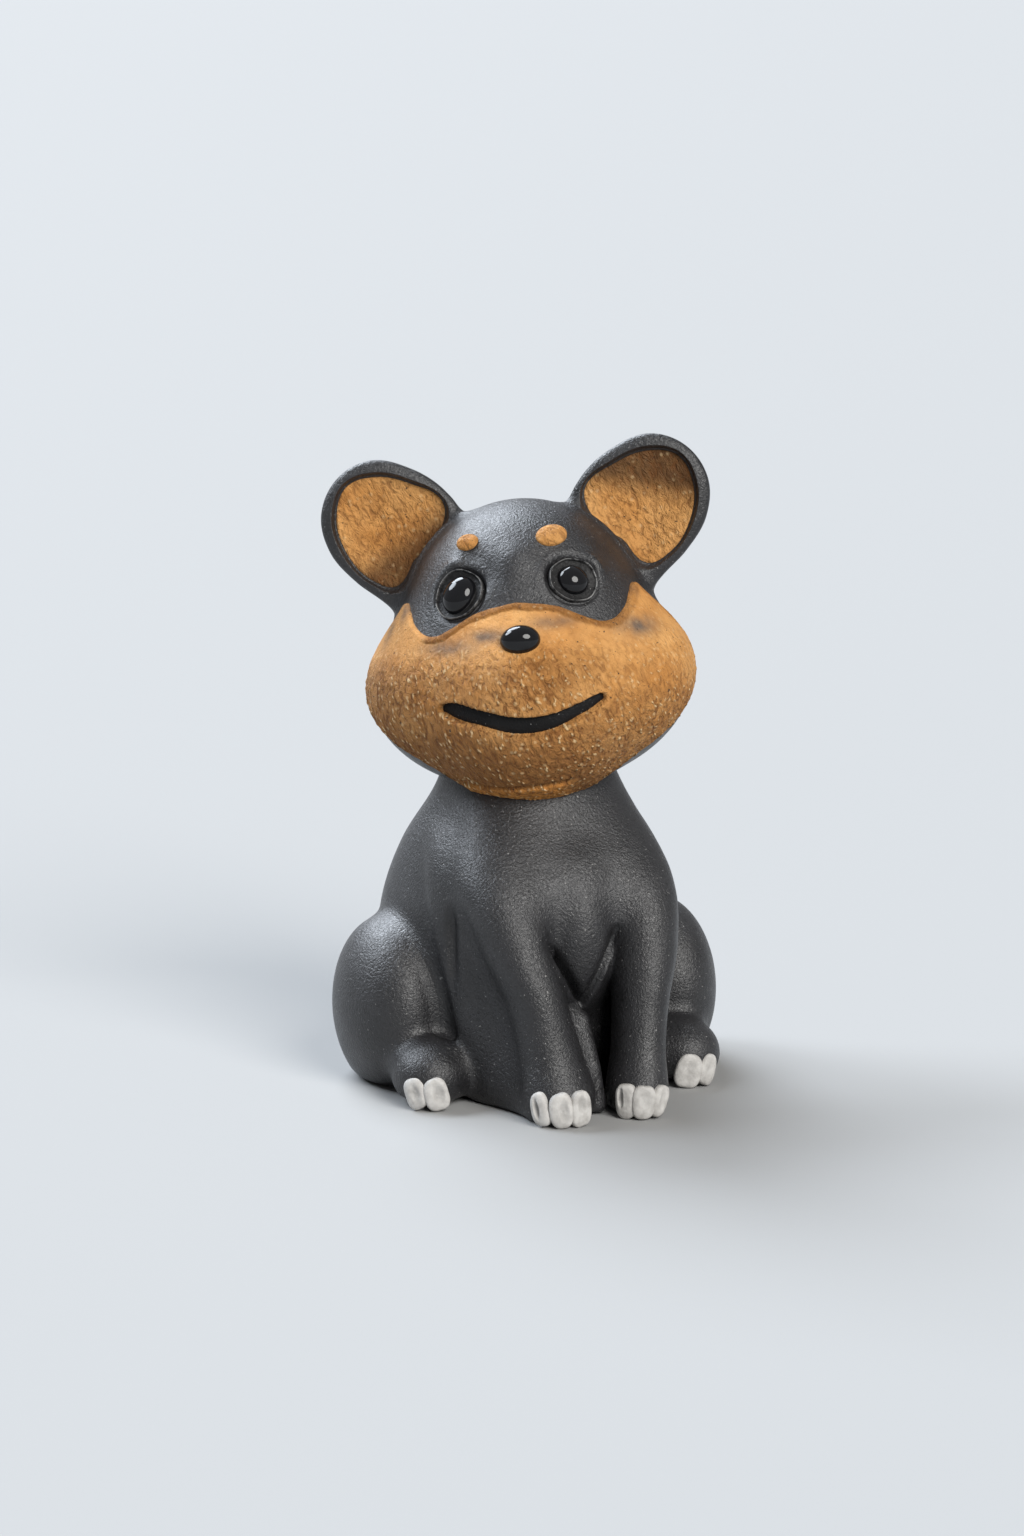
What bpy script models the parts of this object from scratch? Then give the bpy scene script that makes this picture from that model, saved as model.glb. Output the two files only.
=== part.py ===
"""A clay tea pet: a hollow sitting puppy of black clay, about 80 mm high.

The body is a tapered hollow shell, open at its flat underside.  Haunches, forelegs, hind feet
and a stub tail are luted on outside.  The head sits over the neck, turned to the puppy's right
and tilted.  Its ochre face coat lies in a shallow bed cut in the head, and glass beads, clay
rings, brows and the mouth are set in.

The puppy faces -Y, its own left side is +X, and it stands on Z = 0.  Sizes are in
millimetres.  Places on the head are given as degrees across and up, measured round the axis
that runs from the middle of the head out through the face.
"""

import math

import bmesh
import bpy
import numpy as np
from mathutils import Euler, Vector

MM = 0.001

# clearance between two pieces that touch, and how far a cutter runs past what it cuts
GAP = 0.3
PAST = 3.0

# body shell: height, middle, half width, reach to the front and reach to the back
TORSO = (
    (0.0, 2.5, 17.0, 17.3, 15.0),
    (6.0, 3.0, 18.0, 18.2, 16.0),
    (12.0, 3.3, 18.0, 19.0, 16.2),
    (17.5, 3.4, 17.8, 20.4, 15.8),
    (22.0, 3.3, 17.2, 20.6, 15.0),
    (29.0, 2.2, 15.0, 17.6, 13.4),
    (36.0, 0.2, 11.4, 12.4, 11.0),
    (41.0, 0.0, 9.6, 9.8, 9.6),
)
BASE_ROUND = 1.0
BASE_ROUND_SHARES = (0.0, 0.3, 1.0)
BODY_WALL = 3.8
BODY_HOLLOW_TOP = 34.0
BODY_HOLLOW_DOME = 2.0

# swell of the chest between the forelegs: its middle's height and place across, how far it leads
# the front of the body, and its half sizes
CHEST_UP = 20.5
CHEST_ACROSS = 0.7
CHEST_LEAD = 2.8
CHEST_HALF = (5.6, 6.6, 9.6)

# forelegs: height, distance out from the middle, lead over the chest, half width, reach to the
# front, reach to the back and how far the back of the leg splays out to the flank
FORELEG_RIGHT = (
    (0.0, 4.4, 8.0, 4.2, 4.4, 11.0, 7.0),
    (3.0, 4.3, 8.0, 4.4, 4.9, 11.0, 7.2),
    (7.0, 4.7, 6.4, 3.9, 4.4, 10.0, 7.4),
    (13.0, 5.7, 3.6, 3.7, 4.8, 9.0, 7.2),
    (20.0, 7.3, -0.9, 4.5, 5.4, 8.0, 6.0),
    (27.0, 7.8, -3.8, 5.3, 5.7, 6.4, 3.6),
    (33.0, 7.0, -5.6, 3.4, 3.6, 3.8, 1.0),
)
FORELEG_LEFT = (
    (0.0, 5.9, 8.0, 3.5, 4.1, 10.5, 4.6),
    (3.0, 5.9, 8.0, 3.6, 4.5, 10.5, 4.8),
    (7.0, 6.5, 6.4, 3.2, 4.1, 9.6, 4.8),
    (13.0, 7.6, 3.4, 3.4, 4.4, 8.6, 4.4),
    (20.0, 8.8, -0.7, 4.3, 5.0, 7.4, 3.6),
    (27.0, 8.8, -3.8, 4.8, 5.5, 6.0, 2.0),
    (33.0, 7.4, -5.8, 3.2, 3.4, 3.6, 0.6),
)
FORELEG_CAP = 1.2

# how far back the splay of a foreleg's web begins, as a share of its reach to the back
SPLAY_EASE = 1.5

# haunches: how far each stands out of the body's side, its middle and its half sizes
HAUNCH_OUT = 6.4
HAUNCH_BACK = 1.0
HAUNCH_UP = 9.2
HAUNCH_HALF = (6.8, 10.5, 11.2)

# hind feet under the haunches
FOOT_OUT = 3.3
FOOT_FRONT = 10.8
FOOT_UP = 3.4
FOOT_HALF = (4.6, 5.4, 4.2)

# stub tail that lies round the back of the rump, from its root's bearing through its sweep
TAIL_UP = 4.2
TAIL_PROUD = 0.6
TAIL_ROOT = 3.1
TAIL_TIP = 1.9
TAIL_BEARING = -9.0
TAIL_SWEEP = 42.0
TAIL_BLUNT = 6.0
TAIL_TRIM = 0.02

# claws: half width, half depth and half height, and their pitch round a paw
FORE_CLAW_HALF = (1.05, 0.95, 2.15)
HIND_CLAW_HALF = (1.2, 0.95, 1.9)
CLAW_PITCH = 34.0
CLAW_LOW = 0.4
FORE_CLAWS = 3
HIND_CLAWS = 2
FORE_TURN = {"right": -17.0, "left": -13.0}
HIND_TURN = {"right": -26.0, "left": 2.0}

# head: middle above the neck's top, turn to its right, chin up and lean
HEAD_ABOVE_NECK = 12.2
HEAD_TURN = -23.0
HEAD_CHIN_UP = -6.0
HEAD_LEAN = -6.0
SKULL_AT = (0.0, 0.5, 3.5)
SKULL_HALF = (14.5, 14.5, 14.6)
CHEEKS_AT = (0.0, -0.5, -4.2)
CHEEKS_HALF = (19.8, 16.0, 13.4)
MUZZLE_AT = (0.0, -4.5, -5.5)
MUZZLE_HALF = (13.0, 15.0, 12.6)
CHEEK_BLEND = 4.5
MUZZLE_BLEND = 2.5

# face coat: its rim from the brow down one side to the chin, degrees across and up
COAT_RIM = (
    (0.0, 23.0),
    (17.5, 20.0),
    (28.5, 14.8),
    (37.0, 11.2),
    (44.5, 11.6),
    (53.0, 17.6),
    (59.0, 26.0),
    (64.5, 32.0),
    (71.0, 26.5),
    (82.0, 12.0),
    (88.0, -6.0),
    (84.0, -26.0),
    (74.0, -41.0),
    (61.0, -54.0),
    (43.0, -66.0),
    (21.0, -75.0),
    (0.0, -78.0),
)
COAT_RIM_PLAIN = 8
COAT_MIDDLE = (0.0, -72.0)
COAT_PROUD = 0.5
COAT_BED = 0.7

# eyes: a glass bead in a socket, inside a raised clay ring
EYE_RIGHT = (-26.4, 30.3)
EYE_LEFT = (29.1, 32.0)
EYE_BEAD_HALF = (1.95, 2.15, 1.8)
EYE_BEAD_SINK = 0.9
EYE_RING_HALF = (2.8, 3.0)
EYE_RING_THICK = 1.05

# brows, nose and mouth
BROW_RIGHT = (-21.4, 55.6)
BROW_LEFT = (20.1, 54.1)
BROW_RIGHT_HALF = (1.45, 1.1, 0.9)
BROW_LEFT_HALF = (1.95, 1.3, 0.95)
BROW_LEFT_LEAN = 15.0
NOSE_AT = (1.2, 5.8)
NOSE_HALF = (2.35, 1.85, 1.9)
NOSE_OUT = 0.1
MOUTH_REACH = 29.5
MOUTH_LOW = -24.0
MOUTH_CORNER_RISE = 4.8
MOUTH_HALF_THICK = 0.9
MOUTH_BLUNT = 0.45
MOUTH_END_THICK = 0.25
MOUTH_SINK = 0.25

# ears: middle on the head, then rim and lining outlines as angle and radius round it
EAR_AT = (16.0, 0.6, 16.3)
EAR_RIM = (
    (16.0, 8.1),
    (80.0, 8.3),
    (118.0, 7.7),
    (155.0, 8.5),
    (171.0, 9.2),
    (217.0, 8.0),
    (268.0, 10.4),
    (280.0, 9.0),
    (303.0, 7.8),
    (340.0, 7.6),
)
EAR_LINING = (
    (15.0, 6.3),
    (50.0, 7.0),
    (85.0, 6.3),
    (126.0, 6.2),
    (165.0, 7.3),
    (200.0, 5.9),
    (237.0, 5.5),
    (268.0, 7.6),
    (290.0, 7.0),
    (330.0, 6.0),
)
EAR_DISH = 1.9
EAR_RIM_ROUND = 1.5
EAR_RIM_CREST = 0.55
EAR_RIM_SIDE = (0.97, 0.6)
EAR_BACK = 2.6
EAR_BACK_BULGE = ((1.0, 0.0), (0.93, 0.55), (0.7, 0.85), (0.35, 1.0))
EAR_BED_LIP = 0.15
LINING_EDGE = 0.8
LINING_RING = 0.5
LINING_THICK = 0.9
LINING_SINK = 0.5
LINING_BEVEL = (0.96, 0.2)

# facets round each piece and along it
BODY_FACES = (36, 17)
BODY_HOLLOW_FACES = (20, 8)
HEAD_FACES = (36, 24)
LEG_FACES = (18, 13)
HAUNCH_FACES = (22, 12)
FOOT_FACES = (18, 12)
TAIL_FACES = (14, 9)
CHEST_FACES = (18, 12)
EAR_ROUND = 28
RING_FACES = (18, 8)
BEAD_FACES = (12, 8)
CLAW_FACES = (10, 6)
PATCH_RINGS = 9
MOUTH_RINGS = 18
SHARP_EDGE = 50.0


def curve_through(knots, values, at):
    """Cubic curve through the values, its slope at each from its neighbours, read at `at`."""
    knots, values = np.asarray(knots, float), np.asarray(values, float)
    slopes = np.gradient(values, knots)
    at = np.clip(at, knots[0], knots[-1])
    k = np.clip(np.searchsorted(knots, at, side="right") - 1, 0, len(knots) - 2)
    step = knots[k + 1] - knots[k]
    s = (at - knots[k]) / step
    start = (1 + 2 * s) * (1 - s) ** 2 * values[k] + s * (1 - s) ** 2 * step * slopes[k]
    end = s**2 * (3 - 2 * s) * values[k + 1] + s**2 * (s - 1) * step * slopes[k + 1]
    return start + end


def closed_outline(points, count):
    """Closed curve through (angle, radius) pairs: radius as a cubic of angle, read `count` times."""
    angles = [p[0] for p in points]
    radii = [p[1] for p in points]
    turn = 360.0
    angles = [a - turn for a in angles[-2:]] + angles + [a + turn for a in angles[:2]]
    radii = radii[-2:] + radii + radii[:2]
    at = np.arange(count) * turn / count
    return np.radians(at), curve_through(angles, radii, (at - angles[2]) % turn + angles[2])


def outward(grid):
    """Unit normals of a grid of closed rings, from the differences along and across it."""
    along = np.gradient(grid, axis=0)
    across = np.roll(grid, -1, axis=1) - np.roll(grid, 1, axis=1)
    normal = np.cross(across, along)
    return normal / np.linalg.norm(normal, axis=2, keepdims=True)


# pieces and cuts


def material(name, colour, roughness):
    """A plain material of one colour and roughness."""
    made = bpy.data.materials.get(name)
    if made is None:
        made = bpy.data.materials.new(name)
        made.use_nodes = True
        shader = made.node_tree.nodes["Principled BSDF"]
        shader.inputs["Base Color"].default_value = (*colour, 1.0)
        shader.inputs["Roughness"].default_value = roughness
        shader.inputs["Metallic"].default_value = 0.0
    return made


def black_clay():
    return material("black_clay", (0.040, 0.038, 0.039), 0.55)


def ochre_clay():
    return material("ochre_clay", (0.47, 0.26, 0.085), 0.8)


def white_clay():
    return material("white_clay", (0.74, 0.74, 0.72), 0.7)


def black_glass():
    return material("black_glass", (0.006, 0.006, 0.007), 0.08)


def add(name, mesh, finish, seat=None, cutter=False):
    """Put a mesh in the scene as one named object on its seat, shaded smooth but for sharp edges."""
    piece = bpy.data.objects.new(name, mesh)
    bpy.context.collection.objects.link(piece)
    piece.parent = seat
    if cutter:
        piece.hide_render = True
        piece.display_type = "WIRE"
    else:
        mesh.materials.append(finish())
        mesh.shade_smooth()
        mesh.set_sharp_from_angle(angle=math.radians(SHARP_EDGE))
    return piece


def mesh_of(name, shape):
    """Mesh of a bmesh, with its faces turned outwards."""
    bmesh.ops.recalc_face_normals(shape, faces=shape.faces)
    if shape.calc_volume(signed=True) < 0:
        bmesh.ops.reverse_faces(shape, faces=shape.faces)
    mesh = bpy.data.meshes.new(name)
    shape.to_mesh(mesh)
    shape.free()
    return mesh


def loft(name, rings):
    """Closed mesh through rings of points (ring, point, xyz), with a flat cap on each end."""
    shape = bmesh.new()
    loops = [[shape.verts.new(Vector(p) * MM) for p in ring] for ring in rings]
    count = len(loops[0])
    for low, high in zip(loops, loops[1:]):
        for i in range(count):
            j = (i + 1) % count
            shape.faces.new((low[i], low[j], high[j], high[i]))
    shape.faces.new(reversed(loops[0]))
    shape.faces.new(loops[-1])
    return mesh_of(name, shape)


def fanned(name, rings, first, last):
    """Closed mesh of triangles through rings that close on a point at each end."""
    shape = bmesh.new()
    loops = [[shape.verts.new(Vector(p) * MM) for p in ring] for ring in rings]
    count = len(loops[0])
    for low, high in zip(loops, loops[1:]):
        for i in range(count):
            j = (i + 1) % count
            shape.faces.new((low[i], low[j], high[j]))
            shape.faces.new((low[i], high[j], high[i]))
    for point, loop in ((first, loops[0]), (last, loops[-1])):
        tip = shape.verts.new(Vector(point) * MM)
        for i in range(count):
            shape.faces.new((tip, loop[i], loop[(i + 1) % count]))
    return mesh_of(name, shape)


def ball(name, rule, around, rings):
    """UV sphere whose unit directions are moved to the points that the rule gives, in millimetres."""
    shape = bmesh.new()
    bmesh.ops.create_uvsphere(shape, u_segments=around, v_segments=rings, radius=1.0)
    ways = np.array([v.co[:] for v in shape.verts])
    for vert, place in zip(shape.verts, rule(ways)):
        vert.co = Vector(place) * MM
    return mesh_of(name, shape)


def combine(piece, operation, others):
    """Give the piece one exact boolean for each of the others."""
    for other in others:
        boolean = piece.modifiers.new(other.name, "BOOLEAN")
        boolean.operation = operation
        boolean.solver = "EXACT"
        boolean.object = other


def cut(piece, *cutters):
    """Take the cutters out of the piece."""
    combine(piece, "DIFFERENCE", cutters)


def join(piece, *parts):
    """Make the parts one with the piece."""
    combine(piece, "UNION", parts)


# body


def torso_at(column, z):
    """One column of the body's stations, read at height z."""
    table = np.array(TORSO)
    return curve_through(table[:, 0], table[:, column], z)


def torso_grid(heights, grow=0.0, around=BODY_FACES[0]):
    """Rings of the body: half ellipses to the front and to the back of a middle, moved out by grow."""
    z = np.asarray(heights, float)[:, None]
    turn = np.arange(around)[None] * 2 * math.pi / around
    front = np.cos(turn) > 0
    reach = np.where(front, torso_at(3, z), torso_at(4, z))
    x = np.sin(turn) * torso_at(2, z)
    y = torso_at(1, z) - np.cos(turn) * reach
    grid = np.stack([x, y, z + 0 * turn], 2)
    return grid + outward(grid) * np.array([1.0, 1.0, 0.0]) * grow


def neck_top():
    return TORSO[-1][0]


def chest(z):
    """How far the front of the body lies in front of the middle, at height z."""
    return torso_at(3, z) - torso_at(1, z)


def chest_swell(name, grow=0.0):
    """Ball that swells the chest between the forelegs, as an object that the body takes in."""
    half = np.array(CHEST_HALF) + grow
    middle = np.array([CHEST_ACROSS, CHEST_HALF[1] - chest(CHEST_UP) - CHEST_LEAD, CHEST_UP])
    return add(name, ball(name, lambda ways: middle + ways * half, *CHEST_FACES), None, ROOT, True)


def body_cutter():
    """The body grown by the clearance, run past the floor."""
    heights = [-PAST, *np.linspace(0, neck_top(), BODY_FACES[1]), neck_top() + GAP]
    cutter = add("body_clearance", loft("body_clearance", torso_grid(heights, GAP)), None, ROOT, True)
    join(cutter, chest_swell("chest_clearance", GAP))
    return cutter


def make_body():
    """Body shell with a chest, a rounded foot and a neck, its domed hollow open at the underside."""
    rings = list(torso_grid(np.linspace(0, neck_top(), BODY_FACES[1]))[1:])
    for share in sorted(BASE_ROUND_SHARES, reverse=True):
        up = share * BASE_ROUND
        inset = BASE_ROUND - math.sqrt(BASE_ROUND**2 - (BASE_ROUND - up) ** 2)
        rings.insert(0, torso_grid([up, up + BASE_ROUND], -inset)[0])
    body = add("body_shell", loft("body_shell", rings), black_clay, ROOT)
    join(body, chest_swell("chest_swell"))

    around, levels = BODY_HOLLOW_FACES
    rings = torso_grid([-PAST, *np.linspace(0, BODY_HOLLOW_TOP, levels)], -BODY_WALL, around)
    dome = rings[-1].mean(0) + np.array([0.0, 0.0, BODY_HOLLOW_DOME])
    hollow = fanned("body_hollow", rings, rings[0].mean(0), dome)
    cut(body, add("body_hollow", hollow, None, ROOT, True))


def foreleg_rings(side, grow=0.0, below=0.0):
    """Level rings of a foreleg: half an ellipse in front, and behind it a web that splays out."""
    rows = np.array(FORELEG_RIGHT if side == "right" else FORELEG_LEFT)
    toward = -1.0 if side == "right" else 1.0
    z = np.linspace(rows[0, 0], rows[-1, 0], LEG_FACES[1])[:, None]
    z[0] -= below
    out, lead, wide, fore, back, splay = (curve_through(rows[:, 0], rows[:, c], z) for c in range(1, 7))
    turn = np.arange(LEG_FACES[0])[None] * 2 * math.pi / LEG_FACES[0]
    behind = np.maximum(-np.cos(turn), 0.0)
    spread = (1 + SPLAY_EASE) * behind**2 / (behind + SPLAY_EASE)
    x = toward * (out + splay * spread) + np.sin(turn) * (wide + grow)
    y = -chest(z) - lead - np.where(behind > 0, -behind * (back + grow), np.cos(turn) * (fore + grow))
    return np.stack([x, y, z + 0 * turn], 2)


def standing(middle, half, grow=0.0):
    """Rule for a ball of three half sizes about a middle, flat where it meets the floor."""
    middle, half = np.array(middle), np.array(half) + grow

    def rule(ways):
        places = middle + ways * half
        places[:, 2] = np.maximum(places[:, 2], 0.0)
        return places

    return rule


def haunch_middle(toward):
    return (toward * (torso_at(2, HAUNCH_UP) + HAUNCH_OUT - HAUNCH_HALF[0]), HAUNCH_BACK, HAUNCH_UP)


def foot_middle(toward):
    out = torso_at(2, FOOT_UP) + FOOT_OUT - FOOT_HALF[0]
    return (toward * out, -FOOT_FRONT, FOOT_UP)


def make_limbs(body_clear):
    """Forelegs, haunches and hind feet on both sides, and the tail, each cut by what carries it."""
    for side, toward in (("right", -1.0), ("left", 1.0)):
        rings = foreleg_rings(side)
        top = rings[-1].mean(0) + np.array([0.0, 0.0, FORELEG_CAP])
        leg = fanned(f"foreleg_{side}", rings, rings[0].mean(0), top)
        leg = add(f"foreleg_{side}", leg, black_clay, ROOT)
        cut(leg, body_clear)
        leg_clear = loft(f"foreleg_clearance_{side}", foreleg_rings(side, GAP, PAST))
        leg_clear = add(f"foreleg_clearance_{side}", leg_clear, None, ROOT, True)

        at, half = haunch_middle(toward), HAUNCH_HALF
        haunch = ball(f"haunch_{side}", standing(at, half), *HAUNCH_FACES)
        haunch = add(f"haunch_{side}", haunch, black_clay, ROOT)
        cut(haunch, body_clear)
        name = f"haunch_clearance_{side}"
        grown = ball(name, lambda ways: np.array(at) + ways * (np.array(half) + GAP), *HAUNCH_FACES)
        grown = add(name, grown, None, ROOT, True)

        foot = ball(f"hind_foot_{side}", standing(foot_middle(toward), FOOT_HALF), *FOOT_FACES)
        foot = add(f"hind_foot_{side}", foot, black_clay, ROOT)
        cut(foot, body_clear, grown, leg_clear)
        make_claws(side, toward, leg_clear)
    make_tail(body_clear)


def make_tail(body_clear):
    """Stub tail: round rings that shrink as they run round the back of the rump, with blunt ends."""
    around, count = TAIL_FACES
    turn = np.arange(around)[:, None] * 2 * math.pi / around
    rings = []
    for share in np.linspace(TAIL_TRIM, 1.0 - TAIL_TRIM, count):
        bearing = math.radians(TAIL_BEARING + TAIL_SWEEP * share)
        taper = (TAIL_ROOT - TAIL_TIP) * share
        radius = (TAIL_ROOT - taper) * math.sqrt(1.0 - abs(2.0 * share - 1.0) ** TAIL_BLUNT)
        out = np.array([math.sin(bearing), math.cos(bearing), 0.0])
        middle = out * (torso_at(4, TAIL_UP) + TAIL_PROUD)
        middle = middle + np.array([0.0, torso_at(1, TAIL_UP), TAIL_UP - taper])
        rings.append(middle + radius * (np.cos(turn) * out + np.sin(turn) * np.array([0.0, 0.0, 1.0])))
    tail = add("tail", loft("tail", rings), black_clay, ROOT)
    cut(tail, body_clear)


# claws


def claw_rule(middle, way, half, grow=0.0):
    """Rule for a claw: an upright ball of three half sizes whose depth runs along `way`."""
    out = np.array([math.sin(way), -math.cos(way), 0.0])
    side = np.array([math.cos(way), math.sin(way), 0.0])
    wide, deep, high = np.array(half) + grow

    def rule(ways):
        flat = ways[:, :1] * wide * side + ways[:, 1:2] * deep * out
        return middle + flat + ways[:, 2:] * high * np.array([0.0, 0.0, 1.0])

    return rule


def make_claws(side, toward, leg_clear):
    """Claws round one fore paw and one hind foot, seated on the paw's skin."""
    table = np.array(FORELEG_RIGHT if side == "right" else FORELEG_LEFT)
    up = CLAW_LOW + FORE_CLAW_HALF[2]
    out, lead, wide, fore = (float(curve_through(table[:, 0], table[:, c], up)) for c in range(1, 5))
    for i in range(FORE_CLAWS):
        way = math.radians(FORE_TURN[side] + CLAW_PITCH * (i - (FORE_CLAWS - 1) / 2))
        x = toward * out + math.sin(way) * wide
        y = -float(chest(up)) - lead - math.cos(way) * fore
        name = f"fore_claw_{side}_{i + 1}"
        claw = ball(name, claw_rule((x, y, up), way, FORE_CLAW_HALF), *CLAW_FACES)
        cut(add(name, claw, white_clay, ROOT), leg_clear)

    middle, half = np.array(foot_middle(toward)), np.array(FOOT_HALF)
    foot = ball(f"foot_clearance_{side}", lambda w: middle + w * (half + GAP), *FOOT_FACES)
    foot = add(f"foot_clearance_{side}", foot, None, ROOT, True)
    up = CLAW_LOW + HIND_CLAW_HALF[2]
    level = math.sqrt(1 - ((up - FOOT_UP) / FOOT_HALF[2]) ** 2)
    for i in range(HIND_CLAWS):
        way = math.radians(HIND_TURN[side] + CLAW_PITCH * (i - (HIND_CLAWS - 1) / 2))
        x = middle[0] + math.sin(way) * half[0] * level
        y = middle[1] - math.cos(way) * half[1] * level
        name = f"hind_claw_{side}_{i + 1}"
        claw = ball(name, claw_rule((x, y, up), way, HIND_CLAW_HALF), *CLAW_FACES)
        cut(add(name, claw, white_clay, ROOT), foot)


# head


def ellipsoid_reach(ways, at, half):
    """Distance from the origin along each unit direction to the far side of an ellipsoid."""
    d, c = ways / np.array(half), np.array(at) / np.array(half)
    a = (d * d).sum(-1)
    b = (d * c).sum(-1)
    return (b + np.sqrt(np.maximum(b * b - a * ((c * c).sum() - 1), 0.0))) / a


def joined(one, two, blend):
    """The larger of two distances, rounded where they come within `blend` of each other."""
    near = np.maximum(blend - np.abs(one - two), 0.0) / blend
    return np.maximum(one, two) + near**2 * blend / 4


def head_reach(ways):
    """Distance from the middle of the head to its skin: skull, cheeks and muzzle, blended."""
    reach = joined(
        ellipsoid_reach(ways, SKULL_AT, SKULL_HALF),
        ellipsoid_reach(ways, CHEEKS_AT, CHEEKS_HALF),
        CHEEK_BLEND,
    )
    return joined(reach, ellipsoid_reach(ways, MUZZLE_AT, MUZZLE_HALF), MUZZLE_BLEND)


def way_to(across, up):
    """Unit direction that lies so many degrees across and up from the axis through the face."""
    across, up = np.asarray(across, float), np.asarray(up, float)
    away = np.hypot(across, up)
    share = np.sin(np.radians(away)) / np.maximum(away, 1e-9)
    return np.stack([across * share, -np.cos(np.radians(away)), up * share], -1)


def on_head(across, up, lift=0.0):
    """Point of the head's skin at a place on the face, moved out by lift."""
    ways = way_to(across, up)
    return ways * (head_reach(ways) + lift)[..., None]


def skin_frame(across, up):
    """Place on the head's skin with its directions across, up and out."""
    here = on_head(across, up)
    side = on_head(across + 0.5, up) - on_head(across - 0.5, up)
    rise = on_head(across, up + 0.5) - on_head(across, up - 0.5)
    out = np.cross(side, rise)
    out /= np.linalg.norm(out)
    side = np.cross(np.array([0.0, 0.0, 1.0]), -out)
    side /= -np.linalg.norm(side)
    side = side if side[0] > 0 else -side
    return here, side, np.cross(out, side), out


def set_in(at, half, lift, lean=0.0, grow=0.0):
    """Rule for a ball of half sizes across, up and out, set in the head's skin and leaned."""
    here, side, rise, out = skin_frame(*at)
    turn = math.radians(lean)
    across = math.cos(turn) * side + math.sin(turn) * rise
    up = math.cos(turn) * rise - math.sin(turn) * side
    wide, high, deep = np.array(half) + grow

    def rule(ways):
        flat = ways[:, :1] * wide * across + ways[:, 1:2] * high * up
        return here + out * lift + flat + ways[:, 2:] * deep * out

    return rule


def coat_rim(grow=0.0):
    """Rim of the face coat in degrees, finer round the eyes: one side as drawn, then mirrored."""
    half = np.array(COAT_RIM)
    along = np.arange(len(half), dtype=float)
    at = np.concatenate([np.arange(0, COAT_RIM_PLAIN, 0.5), np.arange(COAT_RIM_PLAIN, len(half))])
    across, up = (curve_through(along, half[:, c], at) for c in (0, 1))
    across[0] = across[-1] = 0.0
    across = np.concatenate([across, -across[-2:0:-1]])
    up = np.concatenate([up, up[-2:0:-1]])
    side = np.roll(across, -1) - np.roll(across, 1)
    rise = np.roll(up, -1) - np.roll(up, 1)
    size = np.hypot(side, rise)
    return across - rise / size * grow, up + side / size * grow


def patch(name, across, up, middle, low, high):
    """Closed piece that follows the head's skin from lift `low` to lift `high` inside a rim."""
    inner, outer = [], []
    for share in np.linspace(0, 1, PATCH_RINGS + 1)[1:]:
        a = middle[0] + (across - middle[0]) * share
        b = middle[1] + (up - middle[1]) * share
        inner.append(on_head(a, b, low))
        outer.append(on_head(a, b, high))
    return fanned(name, inner + outer[::-1], on_head(*middle, low), on_head(*middle, high))


def mouth_outline(grow=0.0):
    """Outline of the mouth in degrees: a shallow arc, thick in the middle, with round ends."""
    degree = math.degrees(1.0 / float(head_reach(way_to(0.0, MOUTH_LOW))))
    turn = np.linspace(0, math.pi, MOUTH_RINGS)
    reach = MOUTH_REACH + grow * degree
    across = -np.cos(turn) * reach
    middle = MOUTH_LOW + MOUTH_CORNER_RISE * (across / MOUTH_REACH) ** 2
    thick = (MOUTH_HALF_THICK * degree) * np.sin(turn) ** MOUTH_BLUNT + grow * degree
    return across, middle, np.maximum(thick, MOUTH_END_THICK)


def mouth_solid(name, low, high, grow=0.0):
    """The mouth as a bar that follows the head's skin, from lift `low` to lift `high`."""
    across, middle, thick = mouth_outline(grow)
    rings = []
    for a, b, t in zip(across, middle, thick):
        corners = [(b - t, low), (b - t, high), (b, high), (b + t, high), (b + t, low), (b, low)]
        rings.append(np.array([on_head(a, up, lift) for up, lift in corners]))
    return fanned(name, rings, rings[0].mean(0), rings[-1].mean(0))


def make_head(body_clear):
    """Head with a socket for the neck, the bed of the coat and seats, and all that is set in it."""
    head = ball("head", lambda w: w * head_reach(w)[:, None], *HEAD_FACES)
    head = add("head", head, black_clay, HEAD)
    grown = ball("head_clearance", lambda w: w * (head_reach(w) + GAP)[:, None], *HEAD_FACES)
    grown = add("head_clearance", grown, None, HEAD, True)

    degree = math.degrees(GAP / CHEEKS_HALF[0])
    coat = patch("face_coat", *coat_rim(), COAT_MIDDLE, GAP - COAT_BED, COAT_PROUD)
    coat = add("face_coat", coat, ochre_clay, HEAD)
    bed = patch("coat_bed", *coat_rim(degree), COAT_MIDDLE, -COAT_BED, COAT_PROUD + PAST)
    bed = add("coat_bed", bed, None, HEAD, True)
    cut(head, bed, body_clear)
    cut(coat, body_clear)

    make_eyes(head, grown)
    make_brows(grown)

    nose = ball("nose_bead", set_in(NOSE_AT, NOSE_HALF, NOSE_OUT), *BEAD_FACES)
    add("nose_bead", nose, black_glass, HEAD)
    seat = ball("nose_seat", set_in(NOSE_AT, NOSE_HALF, NOSE_OUT, 0.0, GAP), *BEAD_FACES)
    seat = add("nose_seat", seat, None, HEAD, True)
    mouth = mouth_solid("mouth_inlay", GAP - COAT_BED, COAT_PROUD - MOUTH_SINK)
    add("mouth_inlay", mouth, black_clay, HEAD)
    slot = mouth_solid("mouth_slot", -COAT_BED, COAT_PROUD + PAST, GAP)
    slot = add("mouth_slot", slot, None, HEAD, True)
    cut(head, seat)
    cut(coat, seat, slot)
    make_ears(grown)


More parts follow.
